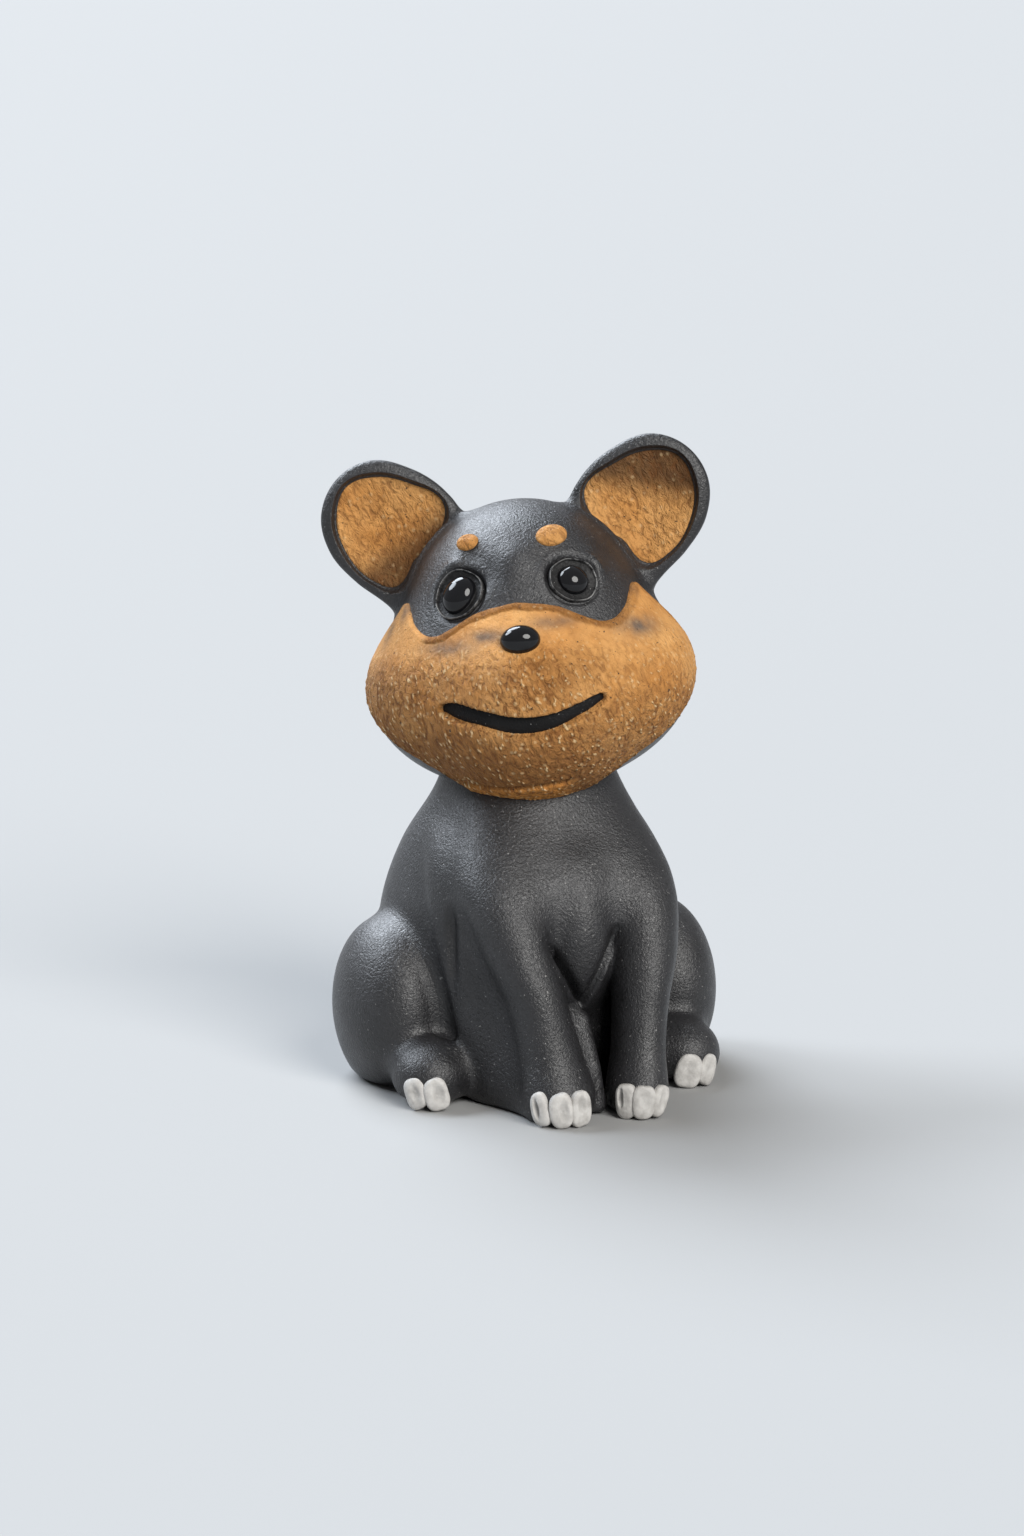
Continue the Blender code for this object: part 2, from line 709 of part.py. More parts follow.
def make_eyes(head, grown):
    """Each eye: a bead in a socket of the head, and a round-topped ring on the skin about it."""
    for side, at in (("right", EYE_RIGHT), ("left", EYE_LEFT)):
        bead = ball(f"eye_bead_{side}", set_in(at, EYE_BEAD_HALF, -EYE_BEAD_SINK), *BEAD_FACES)
        add(f"eye_bead_{side}", bead, black_glass, HEAD)
        socket = set_in(at, EYE_BEAD_HALF, -EYE_BEAD_SINK, 0.0, GAP)
        socket = add(f"eye_socket_{side}", ball(f"eye_socket_{side}", socket, *BEAD_FACES), None, HEAD, True)
        cut(head, socket)
        ring = add(f"eye_ring_{side}", ring_mesh(f"eye_ring_{side}", at), black_clay, HEAD)
        cut(ring, grown)


def ring_mesh(name, at):
    """Clay ring about an eye: a round section carried round an ellipse that follows the skin."""
    here, side, rise, out = skin_frame(*at)
    shape = bmesh.new()
    count, sides = RING_FACES
    loops = []
    for i in range(count):
        turn = 2 * math.pi * i / count
        flat = math.cos(turn) * EYE_RING_HALF[0] * side + math.sin(turn) * EYE_RING_HALF[1] * rise
        way = here + flat
        way = way / np.linalg.norm(way)
        middle = way * float(head_reach(way))
        outer = flat / np.linalg.norm(flat)
        loop = []
        for j in range(sides):
            roll = 2 * math.pi * j / sides
            step = math.cos(roll) * outer + math.sin(roll) * out
            loop.append(shape.verts.new(Vector(middle + step * EYE_RING_THICK / 2) * MM))
        loops.append(loop)
    for i in range(count):
        one, two = loops[i], loops[(i + 1) % count]
        for j in range(sides):
            k = (j + 1) % sides
            shape.faces.new((one[j], one[k], two[k], two[j]))
    return mesh_of(name, shape)


def make_brows(grown):
    """Small ochre ovals on the forehead, flat where they lie on the skin."""
    brows = (("right", BROW_RIGHT, BROW_RIGHT_HALF, 0.0), ("left", BROW_LEFT, BROW_LEFT_HALF, BROW_LEFT_LEAN))
    for side, at, half, lean in brows:
        brow = ball(f"brow_{side}", set_in(at, half, 0.0, lean), *BEAD_FACES)
        cut(add(f"brow_{side}", brow, ochre_clay, HEAD), grown)


# ears


def ear_ring(outline, share, depth, toward):
    """One ring of an ear: an outline shrunk to a share of itself, at a depth behind the ear's face."""
    turn, radius = outline
    x = np.cos(turn) * radius * share
    z = np.sin(turn) * radius * share
    depth = depth + 0 * turn
    return np.stack([toward * (EAR_AT[0] + x), EAR_AT[1] + depth, EAR_AT[2] + z], 1)


def dish(share):
    """Depth of the ear's hollow face at a share of the way from its middle to its rim."""
    return EAR_DISH * (1.0 - share**2) - EAR_RIM_ROUND


def make_ears(grown):
    """Dished ears with a round rim, each with an ochre lining let into the hollow face."""
    rim = closed_outline(EAR_RIM, EAR_ROUND)
    lining = closed_outline(EAR_LINING, EAR_ROUND)
    bed = (lining[0], lining[1] + GAP)
    crest = (rim[0], (1.0 - EAR_RIM_CREST) * bed[1] + EAR_RIM_CREST * rim[1])
    edge, inner = dish(LINING_EDGE), dish(LINING_RING * LINING_EDGE)
    under = LINING_SINK + LINING_THICK
    for side, toward in (("right", -1.0), ("left", 1.0)):
        rings = [
            ear_ring(bed, LINING_RING, inner + under + GAP, toward),
            ear_ring(bed, 1.0, edge + under + GAP, toward),
            ear_ring(bed, 1.0, edge + EAR_BED_LIP, toward),
            ear_ring(crest, 1.0, -EAR_RIM_ROUND, toward),
            ear_ring(rim, EAR_RIM_SIDE[0], -EAR_RIM_SIDE[1] * EAR_RIM_ROUND, toward),
        ]
        rings += [ear_ring(rim, share, deep * EAR_BACK, toward) for share, deep in EAR_BACK_BULGE]
        middle = np.array([toward * EAR_AT[0], EAR_AT[1], EAR_AT[2]])
        behind = np.array([0.0, 1.0, 0.0])
        front, back = middle + behind * (dish(0.0) + under + GAP), middle + behind * EAR_BACK
        ear = add(f"ear_{side}", fanned(f"ear_{side}", rings, front, back), black_clay, HEAD)
        cut(ear, grown)

        rings = [
            ear_ring(lining, LINING_RING, inner + LINING_SINK, toward),
            ear_ring(lining, LINING_BEVEL[0], edge + LINING_SINK, toward),
            ear_ring(lining, 1.0, edge + LINING_SINK + LINING_BEVEL[1], toward),
            ear_ring(lining, 1.0, edge + under, toward),
            ear_ring(lining, LINING_RING, inner + under, toward),
        ]
        front, back = middle + behind * (dish(0.0) + LINING_SINK), middle + behind * (dish(0.0) + under)
        name = f"ear_lining_{side}"
        piece = add(name, fanned(name, rings, front, back), ochre_clay, HEAD)
        cut(piece, grown)


def stand_over_origin():
    """Move the whole pet so that the middle of its footprint's box is over the origin."""
    bpy.context.view_layer.update()
    graph = bpy.context.evaluated_depsgraph_get()
    corners = []
    for piece in bpy.data.objects:
        if piece.type == "MESH" and not piece.hide_render:
            shown = piece.evaluated_get(graph)
            corners += [piece.matrix_world @ v.co for v in shown.data.vertices]
    places = np.array([c[:] for c in corners])
    middle = (places.min(0) + places.max(0)) / 2
    ROOT.location = (-middle[0], -middle[1], 0.0)
    size = (places.max(0) - places.min(0)) / MM
    print("size mm", np.round(size, 2), "moved mm", np.round(-middle / MM, 3))


for thing in list(bpy.data.objects):
    bpy.data.objects.remove(thing, do_unlink=True)

ROOT = bpy.data.objects.new("tea_pet", None)
bpy.context.collection.objects.link(ROOT)
HEAD = bpy.data.objects.new("head_seat", None)
bpy.context.collection.objects.link(HEAD)
HEAD.parent = ROOT
HEAD.location = (0.0, 0.0, (neck_top() + HEAD_ABOVE_NECK) * MM)
HEAD.rotation_mode = "YXZ"
HEAD.rotation_euler = Euler([math.radians(a) for a in (HEAD_CHIN_UP, HEAD_LEAN, HEAD_TURN)], "YXZ")

clearance = body_cutter()
make_body()
make_limbs(clearance)
make_head(clearance)
stand_over_origin()
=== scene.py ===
"""Looks of a clay tea pet: a sitting puppy of black clay with an ochre face, about 80 mm high.

Sizes are in millimetres in the puppy's own frame.  It faces -Y, its left side is +X, it stands on
Z = 0 and the middle of its neck is over the origin.  Places on the head are in the head's own
frame, turned and tilted, or in degrees across and up from the axis out through the face.
"""

import math

import bpy
import numpy as np
from mathutils import Matrix


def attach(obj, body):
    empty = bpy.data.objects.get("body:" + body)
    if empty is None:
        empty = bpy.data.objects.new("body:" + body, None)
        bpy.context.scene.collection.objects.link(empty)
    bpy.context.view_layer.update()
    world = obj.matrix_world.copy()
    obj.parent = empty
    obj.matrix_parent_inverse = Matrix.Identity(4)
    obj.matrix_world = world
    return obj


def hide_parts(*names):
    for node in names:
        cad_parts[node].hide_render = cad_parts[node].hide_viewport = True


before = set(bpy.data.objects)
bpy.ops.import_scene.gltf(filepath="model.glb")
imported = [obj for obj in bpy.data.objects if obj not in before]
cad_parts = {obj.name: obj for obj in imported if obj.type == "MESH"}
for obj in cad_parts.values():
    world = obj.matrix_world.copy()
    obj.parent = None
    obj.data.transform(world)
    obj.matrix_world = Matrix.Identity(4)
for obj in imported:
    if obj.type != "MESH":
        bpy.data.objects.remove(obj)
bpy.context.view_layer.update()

MM = 0.001
UP = np.array([0.0, 0.0, 1.0])
LEVEL = np.array([1.0, 1.0, 0.0])

# how far the puppy's own frame lies behind the middle of its footprint
SET_BACK = np.array([0.0, 3.303, 0.0])

# body: height, middle, half width, reach to the front and reach to the back
TORSO = (
    (0.0, 2.5, 17.0, 17.3, 15.0),
    (6.0, 3.0, 18.0, 18.2, 16.0),
    (12.0, 3.3, 18.0, 19.0, 16.2),
    (17.5, 3.4, 17.8, 20.4, 15.8),
    (22.0, 3.3, 17.2, 20.6, 15.0),
    (29.0, 2.2, 15.0, 17.6, 13.4),
    (36.0, 0.2, 11.4, 12.4, 11.0),
    (41.0, 0.0, 9.6, 9.8, 9.6),
)
BODY_WALL = 3.8
HOLLOW_TOP = 34.0
HOLLOW_DOME = 2.0
FLOOR_ROUND = 1.5

# forelegs: height, distance out, lead over the chest, half width, reach to the front, reach to
# the back, and how far the back of the leg splays out to the flank; then where its shoulder begins,
# how high that is, and how gently the splay grows
FORELEGS = {
    "right": (
        (0.0, 4.4, 8.0, 4.2, 4.4, 11.0, 7.0),
        (3.0, 4.3, 8.0, 4.4, 4.9, 11.0, 7.2),
        (7.0, 4.7, 6.4, 3.9, 4.4, 10.0, 7.4),
        (13.0, 5.7, 3.6, 3.7, 4.8, 9.0, 7.2),
        (20.0, 7.3, -0.9, 4.5, 5.4, 8.0, 6.0),
        (27.0, 7.8, -3.8, 5.3, 5.7, 6.4, 3.6),
        (33.0, 7.0, -5.6, 3.4, 3.6, 3.8, 1.0),
        (42.0, 6.0, -9.5, 3.0, 3.2, 3.2, 0.0),
    ),
    "left": (
        (0.0, 5.9, 8.0, 3.5, 4.1, 10.5, 4.6),
        (3.0, 5.9, 8.0, 3.6, 4.5, 10.5, 4.8),
        (7.0, 6.5, 6.4, 3.2, 4.1, 9.6, 4.8),
        (13.0, 7.6, 3.4, 3.4, 4.4, 8.6, 4.4),
        (20.0, 8.8, -0.7, 4.3, 5.0, 7.4, 3.6),
        (27.0, 8.8, -3.8, 4.8, 5.5, 6.0, 2.0),
        (33.0, 7.4, -5.8, 3.2, 3.4, 3.6, 0.6),
        (42.0, 6.4, -9.5, 3.0, 3.2, 3.2, 0.0),
    ),
}
FORELEG_SHOULDER = 29.0
FORELEG_CAP = 5.2
SPLAY_EASE = 1.5

# haunches and hind feet: middle and half sizes on the puppy's left
HAUNCH_AT = (17.67, 1.0, 9.2)
HAUNCH_HALF = (6.73, 10.5, 11.2)
FOOT_AT = (16.35, -10.8, 3.4)
FOOT_HALF = (4.6, 5.4, 4.2)

# stub tail that lies round the back of the rump
TAIL_UP = 4.2
TAIL_PROUD = 0.45
TAIL_ROOT = 3.1
TAIL_TIP = 1.9
TAIL_BEARING = -9.0
TAIL_SWEEP = 42.0
TAIL_END = 0.16
TAIL_CAP = 0.15

# size of the fillet with which each form runs into the body, the heights and the distances out over
# which a leg's fillet widens, and how a form tucks under its neighbour
SHOULDER_FILLET = 5.5
LEG_FILLET = 0.7
FLANK_FILLET = 2.4
HAUNCH_FILLET = 2.2
FOOT_FILLET = 2.2
TAIL_FILLET = 1.2
SHOULDER_RISE = (18.0, 29.0)
FLANK_RISE = (8.0, 11.0)
TUCK = 0.35

# settling: share of the gap closed in each round, how far points move, and the heights below which
# they slide level
SETTLE_STEP = 0.85
SETTLE_MOST = (-1.8, 4.0)
HEAD_MOST = (-2.0, 3.0)
LEVEL_BELOW = (0.5, 4.0)

# chest between the forelegs: a wedge that narrows downwards; a web of clay runs down from its tip
# between the legs, and one rib goes up from there along each side of the wedge; then the radii along
# web and ribs, and how much wider than deep the web is
WEDGE = ((0.7, -13.4, 20.2), (5.6, 6.8, 10.0))
WEB = ((-0.6, -18.6, 13.0), (-0.4, -20.2, 9.4), (0.35, -21.8, 5.4), (0.65, -23.4, 0.2))
RIB_RIGHT = ((-5.4, -19.4, 22.4), (-3.3, -20.8, 17.4), (-0.8, -19.0, 12.8))
RIB_LEFT = ((4.6, -18.2, 22.0), (3.0, -18.7, 16.6), (0.5, -18.9, 12.6))
WEB_ROUND = (1.05, 1.1, 0.95, 0.9)
WEB_WIDE = 1.35
RIB_ROUND = (0.1, 0.5, 0.75)

# groove down each side of the wedge to its tip: across and up, then how deep and how wide, the share
# of the way down over which it begins, and how far forward
WEDGE_GROOVES = (((-4.7, 21.0), (0.4, 12.4)), ((4.7, 21.5), (0.7, 12.4)))
GROOVE_DEEP = 0.9
GROOVE_WIDE = 0.6
GROOVE_BEGINS = (-0.3, 0.5)
GROOVE_FRONT = (10.0, 13.0)

# crease pressed where the right foreleg runs into the flank: its bearing round the body, half width
# in degrees, depth, and the heights between which it fades in and out
CREASE_BEARING = 42.4
CREASE_WIDE = 2.0
CREASE_DEEP = 0.8
CREASE_FADE = (12.0, 18.0, 21.5, 25.0)

# claws: height on each paw, half depth, how blunt the outline, the shoulder and the front are, waves of
# the outline, strength of the painted shade in a dent, clearance of the floor, pitch, and turn on each paw
FORE_CLAW_UP = 2.2
HIND_CLAW_UP = 2.15
CLAW_DEEP = 0.78
CLAW_SQUARE = 2.7
CLAW_SHOULDER = 0.75
CLAW_FRONT = 0.6
CLAW_WAVES = (0.03, 0.025)
DENT_SHADE = 1.2
CLAW_CLEAR = 0.05
CLAW_PITCH = 31.5
FORE_TURN = {"right": -15.5, "left": -13.0}
HIND_TURN = {"right": -26.0, "left": 2.0}

# each claw: half width, half height, lean, then its dent: place across and up, width, height and depth
CLAWS = {
    "fore_claw_right_1": (1.22, 2.0, 14.0, -0.2, 0.1, 0.4, 1.43, 0.42),
    "fore_claw_right_2": (1.42, 2.15, 8.0, 0.25, -0.05, 0.68, 1.54, 0.22),
    "fore_claw_right_3": (1.42, 2.2, 4.0, -0.1, 0.3, 0.64, 1.21, 0.24),
    "fore_claw_left_1": (1.4, 2.1, 3.0, -0.35, 0.25, 0.4, 1.32, 0.42),
    "fore_claw_left_2": (1.45, 2.1, -4.0, 0.1, 0.2, 0.8, 1.43, 0.14),
    "fore_claw_left_3": (1.1, 1.95, -18.0, 0.0, 0.1, 0.48, 1.43, 0.16),
    "hind_claw_right_1": (1.4, 1.9, 20.0, 0.15, 0.0, 0.64, 1.43, 0.16),
    "hind_claw_right_2": (1.55, 2.0, 16.0, 0.15, 0.1, 0.8, 1.43, 0.28),
    "hind_claw_left_1": (1.6, 2.2, -12.0, 0.0, 0.1, 0.72, 1.43, 0.1),
    "hind_claw_left_2": (1.15, 2.0, -18.0, 0.0, 0.1, 0.48, 1.32, 0.12),
}

# head: middle over the neck, its turn, lift of the chin and lean, then skull, cheeks and muzzle
HEAD_UP = 53.2
HEAD_TURN = -23.0
HEAD_CHIN_UP = -6.0
HEAD_LEAN = -6.0
SKULL = ((0.0, 0.5, 3.5), (14.5, 14.5, 14.6))
CHEEKS = ((0.0, -0.5, -4.2), (19.8, 16.0, 13.4))
MUZZLE = ((0.0, -4.5, -5.5), (13.0, 15.0, 12.6))
CHEEK_BLEND = 4.5
MUZZLE_BLEND = 2.5

# face coat: its rim from the brow down one side to the chin, degrees across and up, and how much
# further out it lies on the puppy's left, away from COAT_LEFT_FROM
COAT_RIM = (
    (0.0, 23.0, 0.0), (17.5, 20.0, 0.0), (28.5, 14.8, 0.0), (37.0, 11.2, 0.0),
    (44.5, 11.6, 0.0), (53.0, 17.6, 0.0), (59.0, 26.0, 0.0), (64.5, 32.0, 0.0),
    (71.0, 26.5, 0.0), (82.0, 12.0, 0.5), (88.0, -6.0, 2.0), (78.0, -22.5, 4.5),
    (63.5, -35.0, 5.5), (48.5, -45.5, 5.0), (34.5, -56.5, 3.5), (20.0, -68.5, 1.0),
    (0.0, -75.0, 0.0),
)
COAT_LEFT_FROM = (30.0, 0.0)
COAT_MIDDLE = (0.0, -72.0)
COAT_PROUD = 0.5
COAT_LIP = 0.45
COAT_UNDERCUT = 0.12
COAT_UNDER = -0.6
COAT_EDGE_ROWS = (1.0, 0.9985, 0.997, 0.995, 0.9925)

# band along the upper rim of the coat: its width, the line pressed along its inner side, the degrees
# up over which it begins, and across, where it starts and where it fades
BAND_WIDE = 1.0
BAND_PROUD = 0.07
LINE_DEEP = 0.14
LINE_WIDE = 0.12
BAND_UP = (2.0, 9.0)
BAND_START = (-45.0, -41.0)
BAND_FADE = (30.0, 60.0)
LINE_FADE = (42.0, 4.0)

# lap at the chin: its upper edge in degrees, where it starts and ends across, depth and half width of
# the fold along that edge, and how far the lap stands out below
LAP_LINE = (
    (-34.0, -54.0), (-26.4, -52.5), (-14.8, -51.5), (-4.3, -50.3),
    (5.1, -49.8), (14.9, -50.5), (24.0, -53.0),
)
LAP_START = (-36.0, -26.0)
LAP_END = (19.0, 10.0)
LAP_DEEP = 0.42
LAP_FOLD = 0.32
LAP_PROUD = 0.2

# grains of the coat: how many, then from least to most their half width and half length in degrees,
# their lean and their height; and the field in degrees over which they are strewn, with its step
GRAINS = 5600
GRAIN_WIDE = (0.42, 0.68)
GRAIN_LONG = (0.7, 1.5)
GRAIN_LEAN = (8.0, 44.0)
GRAIN_HIGH = (0.03, 0.17)
FIELD = (-92.0, 92.0, -82.0, 20.0)
FIELD_STEP = 0.12

# smoother part of the coat on the puppy's left: degrees across and up over which it begins
SMOOTH_ACROSS = (12.0, 44.0)
SMOOTH_UP = (-34.0, -12.0)

# grey stains: across, up, width and height in degrees, and strength
STAINS = (
    (-13.0, 8.0, 9.0, 3.2, 0.95),
    (-29.0, 5.0, 13.0, 3.8, 1.0),
    (54.0, 7.0, 11.0, 5.0, 1.0),
    (61.0, 27.0, 2.5, 4.0, 0.5),
    (-61.0, 27.0, 3.5, 7.0, 1.0),
    (-70.0, 16.0, 3.0, 9.0, 0.7),
    (16.0, 12.0, 10.0, 2.8, 0.8),
)

# eyes, brows, nose and mouth
EYES = {"right": (-27.9, 30.3), "left": (28.2, 32.2)}
EYE_BEAD_HALF = {"right": (2.1, 2.45, 1.6), "left": (1.95, 1.95, 1.55)}
EYE_BEAD_SINK = 0.42
EYE_BEAD_LEAN = {"right": -18.0, "left": 20.0}
EYE_RING_HALF = {"right": (3.2, 3.2), "left": (3.1, 2.95)}
EYE_RING_INSIDE = 0.94

# clay round an eye ring, in shares of the ring's size: crease and fold as place, half width, depth all
# round and more above, then the seat under it, from where to where and how deep
EYE_CREASE = (1.05, 0.075, 0.3, 0.5)
EYE_FOLD = (1.36, 0.17, 0.15)
EYE_SEAT = (0.98, 0.78, 1.1)

# section of an eye ring: share of the way from the bead to its outside, and height
EYE_RING_SECTION = (
    (-0.12, -0.9), (-0.1, -0.35), (0.04, -0.06), (0.16, -0.14), (0.5, -0.06),
    (0.74, 0.04), (0.83, 0.26), (0.91, 0.33), (0.97, 0.2), (1.0, -0.15),
    (0.98, -0.7), (0.7, -1.2), (0.2, -1.25),
)

# brows: degrees across and up, half sizes and lean; and how far they are sunk in
BROWS = {
    "right": ((-22.5, 55.6), (1.5, 1.15, 0.9), 0.0),
    "left": ((19.2, 54.6), (2.1, 1.5, 0.95), 15.0),
}
BROW_SINK = 0.1

# nose and mouth: the mouth's line is across, up in degrees and half thickness in millimetres, then its
# bar's top and half height, how far it runs under the coat, and the slots for it in coat and head
NOSE_AT = (1.2, 4.9)
NOSE_HALF = (2.4, 1.85, 1.9)
NOSE_OUT = 0.25
MOUTH_LINE = (
    (-30.6, -18.6, 0.55), (-27.5, -19.0, 0.85), (-15.1, -21.1, 0.9), (-2.4, -23.8, 0.95),
    (9.9, -23.7, 0.85), (19.1, -21.8, 0.7), (27.0, -20.0, 0.6), (29.3, -19.4, 0.45),
)
MOUTH_TOP = -0.2
MOUTH_THICK = 0.35
MOUTH_UNDER = 0.3
SLOT_DEEP = 0.95
HEAD_SLOT = 0.8
MOUTH_SCALE = math.radians(1) * 19.0

# soft relief of the face: degrees across and up, size in degrees and height
FACE_RELIEF = (
    ((-16.0, 37.5), 8.0, -0.75), ((-21.5, 46.5), 6.0, -0.45),
    ((19.5, 42.0), 7.0, -0.5), ((30.0, 43.5), 5.5, -0.35),
    ((-30.0, 45.0), 5.0, 0.25), ((41.0, 40.0), 5.5, 0.45),
    ((0.0, 43.0), 8.0, 0.35),
)

# ears: middle on the head, then the rim and the lining as angle and radius round it
EAR_AT = (16.0, 0.6, 16.23)
EAR_RIM = (
    (16.0, 8.1), (80.0, 8.3), (118.0, 7.7), (155.0, 8.5), (171.0, 9.2),
    (217.0, 8.0), (268.0, 10.4), (280.0, 9.0), (303.0, 7.8), (340.0, 7.6),
)
EAR_LINING = (
    (15.0, 6.3), (50.0, 7.0), (85.0, 6.3), (126.0, 6.2), (165.0, 7.8),
    (200.0, 6.3), (237.0, 5.6), (268.0, 7.7), (290.0, 7.0), (330.0, 6.0),
)
EAR_FRONT = 1.5
EAR_BACK = 2.6
EAR_SQUARE = 3.0
EAR_BULGE = 2.7
EAR_FILLET = 2.0
HEAD_TUCK = 1.0

# dish of an ear: depth at the edge of its lining and in the middle, and how far the crest of the
# rim lies from there, as a share of the way to the outline
EAR_EDGE_DEEP = 0.9
EAR_DEEP = 2.3
EAR_CREST = 0.26
LINING_THICK = 0.3
LINING_BED = 0.4
LINING_BACK = 0.45

# painted shade under the rim of each lining, partly a dark stain: strength, the way towards it in
# degrees, and where it begins and is full
EAR_SHADE = {"right": (0.95, 240.0, 0.6, 4.6), "left": (1.0, 75.0, -0.4, 3.2)}


# curves and grids


def curve_through(knots, values, at):
    """Cubic curve through the values, its slope at each from its neighbours, read at `at`."""
    knots, values = np.asarray(knots, float), np.asarray(values, float)
    slopes = np.gradient(values, knots)
    at = np.clip(at, knots[0], knots[-1])
    k = np.clip(np.searchsorted(knots, at, side="right") - 1, 0, len(knots) - 2)
    step = knots[k + 1] - knots[k]
    s = (at - knots[k]) / step
    start = (1 + 2 * s) * (1 - s) ** 2 * values[k] + s * (1 - s) ** 2 * step * slopes[k]
    end = s**2 * (3 - 2 * s) * values[k + 1] + s**2 * (s - 1) * step * slopes[k + 1]
    return start + end


def finely(rows, step=0.05):
    rows = np.array(rows)
    at = np.arange(rows[0, 0], rows[-1, 0] + step, step)
    return np.stack([at] + [curve_through(rows[:, 0], rows[:, c], at) for c in range(1, rows.shape[1])])


def look_up(fine, column, at):
    """One column of a finely read table at `at`, straight between its steps."""
    return np.interp(at, fine[0], fine[column])


def around_outline(points, turn):
    """Radius of a closed outline of (angle, radius) pairs at each turn, a smooth curve of the angle."""
    angles, radii = (list(column) for column in zip(*points))
    angles = [a - 360 for a in angles[-3:]] + angles + [a + 360 for a in angles[:3]]
    radii = radii[-3:] + radii + radii[:3]
    return curve_through(angles, radii, np.degrees(turn) % 360)


def unit(v):
    """Each vector shrunk to length one."""
    return v / np.maximum(np.linalg.norm(v, axis=-1, keepdims=True), 1e-9)


def outward(grid):
    """Unit normals of a grid of closed rings, from the differences along and across it."""
    along = np.gradient(grid, axis=0)
    across = np.roll(grid, -1, axis=1) - np.roll(grid, 1, axis=1)
    return unit(np.cross(across, along))


def rise(value, low, high):
    """Smooth step from 0 at low to 1 at high, downwards where low is the larger."""
    s = np.clip((value - low) / (high - low), 0.0, 1.0)
    return s * s * (3 - 2 * s)


def hill(value, wide):
    """Smooth hill of height 1 over 0: exp of minus the square of value over wide."""
    return np.exp(-((value / wide) ** 2))


def cos_sin(degrees):
    """Cosine and sine of an angle in degrees."""
    return math.cos(math.radians(degrees)), math.sin(math.radians(degrees))


def leaned(x, z, degrees):
    """Two coordinates or directions, turned from the first towards the second."""
    c, s = cos_sin(degrees)
    return x * c - z * s, x * s + z * c


def turns(count):
    """Even turns round a ring, from 0 to a full circle."""
    return np.arange(count) * 2 * math.pi / count


def crowded(count, pull):
    """Turns round a ring, closer together near 0: even ones, less pull times their sine."""
    return turns(count) - pull * np.sin(turns(count))


# forms and fillets


def fill(one, two, size):
    """The smaller of two distances, less a rounded fillet where they are within `size` of each other."""
    near = np.maximum(size - np.abs(one - two), 0.0)
    return np.minimum(one, two) - near**2 / (4 * size)


def trim(one, two, size):
    """The larger of two distances, with a rounded edge where they are within `size` of each other."""
    near = np.maximum(size - np.abs(one - two), 0.0)
    return np.maximum(one, two) + near**2 / (4 * size)


def gap(share, p, step=0.02):
    """Distance outside a form: its share of the way out, less one, over the slope of that share."""
    here = share(p)
    slope = [(share(p + step * axis) - here) / step for axis in np.eye(3)]
    return (here - 1) / np.sqrt(slope[0] ** 2 + slope[1] ** 2 + slope[2] ** 2)


TORSO_FINE = finely(TORSO)
FORELEG_FINE = {side: finely(table) for side, table in FORELEGS.items()}
EAR_TURNS = np.arange(0.0, 360.5, 0.5)
EAR_RIM_FINE = around_outline(EAR_RIM, np.radians(EAR_TURNS))
TOWARD = {"right": -1.0, "left": 1.0}


def torso_at(z):
    """The body's middle, half width and reaches to the front and back at height z."""
    return [look_up(TORSO_FINE, column, z) for column in range(1, 5)]


def torso_share(p):
    """Share of the way from the body's middle line to its half-ellipse wall at the same height."""
    middle, wide, front, back = torso_at(p[..., 2])
    deep = p[..., 1] - middle
    return np.hypot(p[..., 0] / wide, deep / np.where(deep < 0, front, back))


def foreleg_parts(side, z):
    """A foreleg's middle, half width, reaches and splay at height z."""
    out, lead, wide, fore, back, splay = (look_up(FORELEG_FINE[side], column, z) for column in range(1, 7))
    middle, _, front, _ = torso_at(z)
    return TOWARD[side] * out, middle - front - lead, wide, fore, back, TOWARD[side] * splay


def eased(behind):
    """Share of the splay at a share of the way back: none and level in front, growing to all of it."""
    return (1 + SPLAY_EASE) * behind**2 / (behind + SPLAY_EASE)


def foreleg_share(side, p):
    """Share of the way out of a leg: half an ellipse in front, a sheared half behind, capped above."""
    x, y, wide, fore, back, splay = foreleg_parts(side, p[..., 2])
    deep = p[..., 1] - y
    behind = np.maximum(deep, 0.0) / back
    across = (p[..., 0] - x - splay * eased(behind)) / wide
    above = np.maximum(p[..., 2] - FORELEG_SHOULDER, 0.0) / FORELEG_CAP
    return np.sqrt(across**2 + np.where(deep < 0, deep / fore, behind) ** 2 + above**2)


def mirrored(at, side):
    """A place given on the puppy's left, moved to the side that is wanted."""
    return np.array([at[0] * TOWARD[side], at[1], at[2]])


def tail_place(share):
    """Place on the tail's middle line, an arc round the rump that drops as the tail thins."""
    middle, _, _, back = torso_at(TAIL_UP)
    bearing, far = np.radians(TAIL_BEARING + TAIL_SWEEP * share), back + TAIL_PROUD
    up = TAIL_UP - (TAIL_ROOT - TAIL_TIP) * share
    return np.stack([far * np.sin(bearing), middle + far * np.cos(bearing), up], -1)


def tail_gap(p):
    """Distance outside the tail: from the nearest place on its middle line, less its radius there."""
    bearing = np.degrees(np.arctan2(p[..., 0], p[..., 1] - torso_at(TAIL_UP)[0]))
    share = np.clip((bearing - TAIL_BEARING) / TAIL_SWEEP, TAIL_END, 1.0 - TAIL_END)
    return np.linalg.norm(p - tail_place(share), axis=-1) - (TAIL_ROOT + (TAIL_TIP - TAIL_ROOT) * share)


def beside(one, two, p):
    """Share of the way from one point to another that lies nearest to each place, and its distance."""
    share = np.clip((p - one) @ (two - one) / ((two - one) @ (two - one)), 0.0, 1.0)
    return share, np.linalg.norm(p - one - share[..., None] * (two - one), axis=-1)


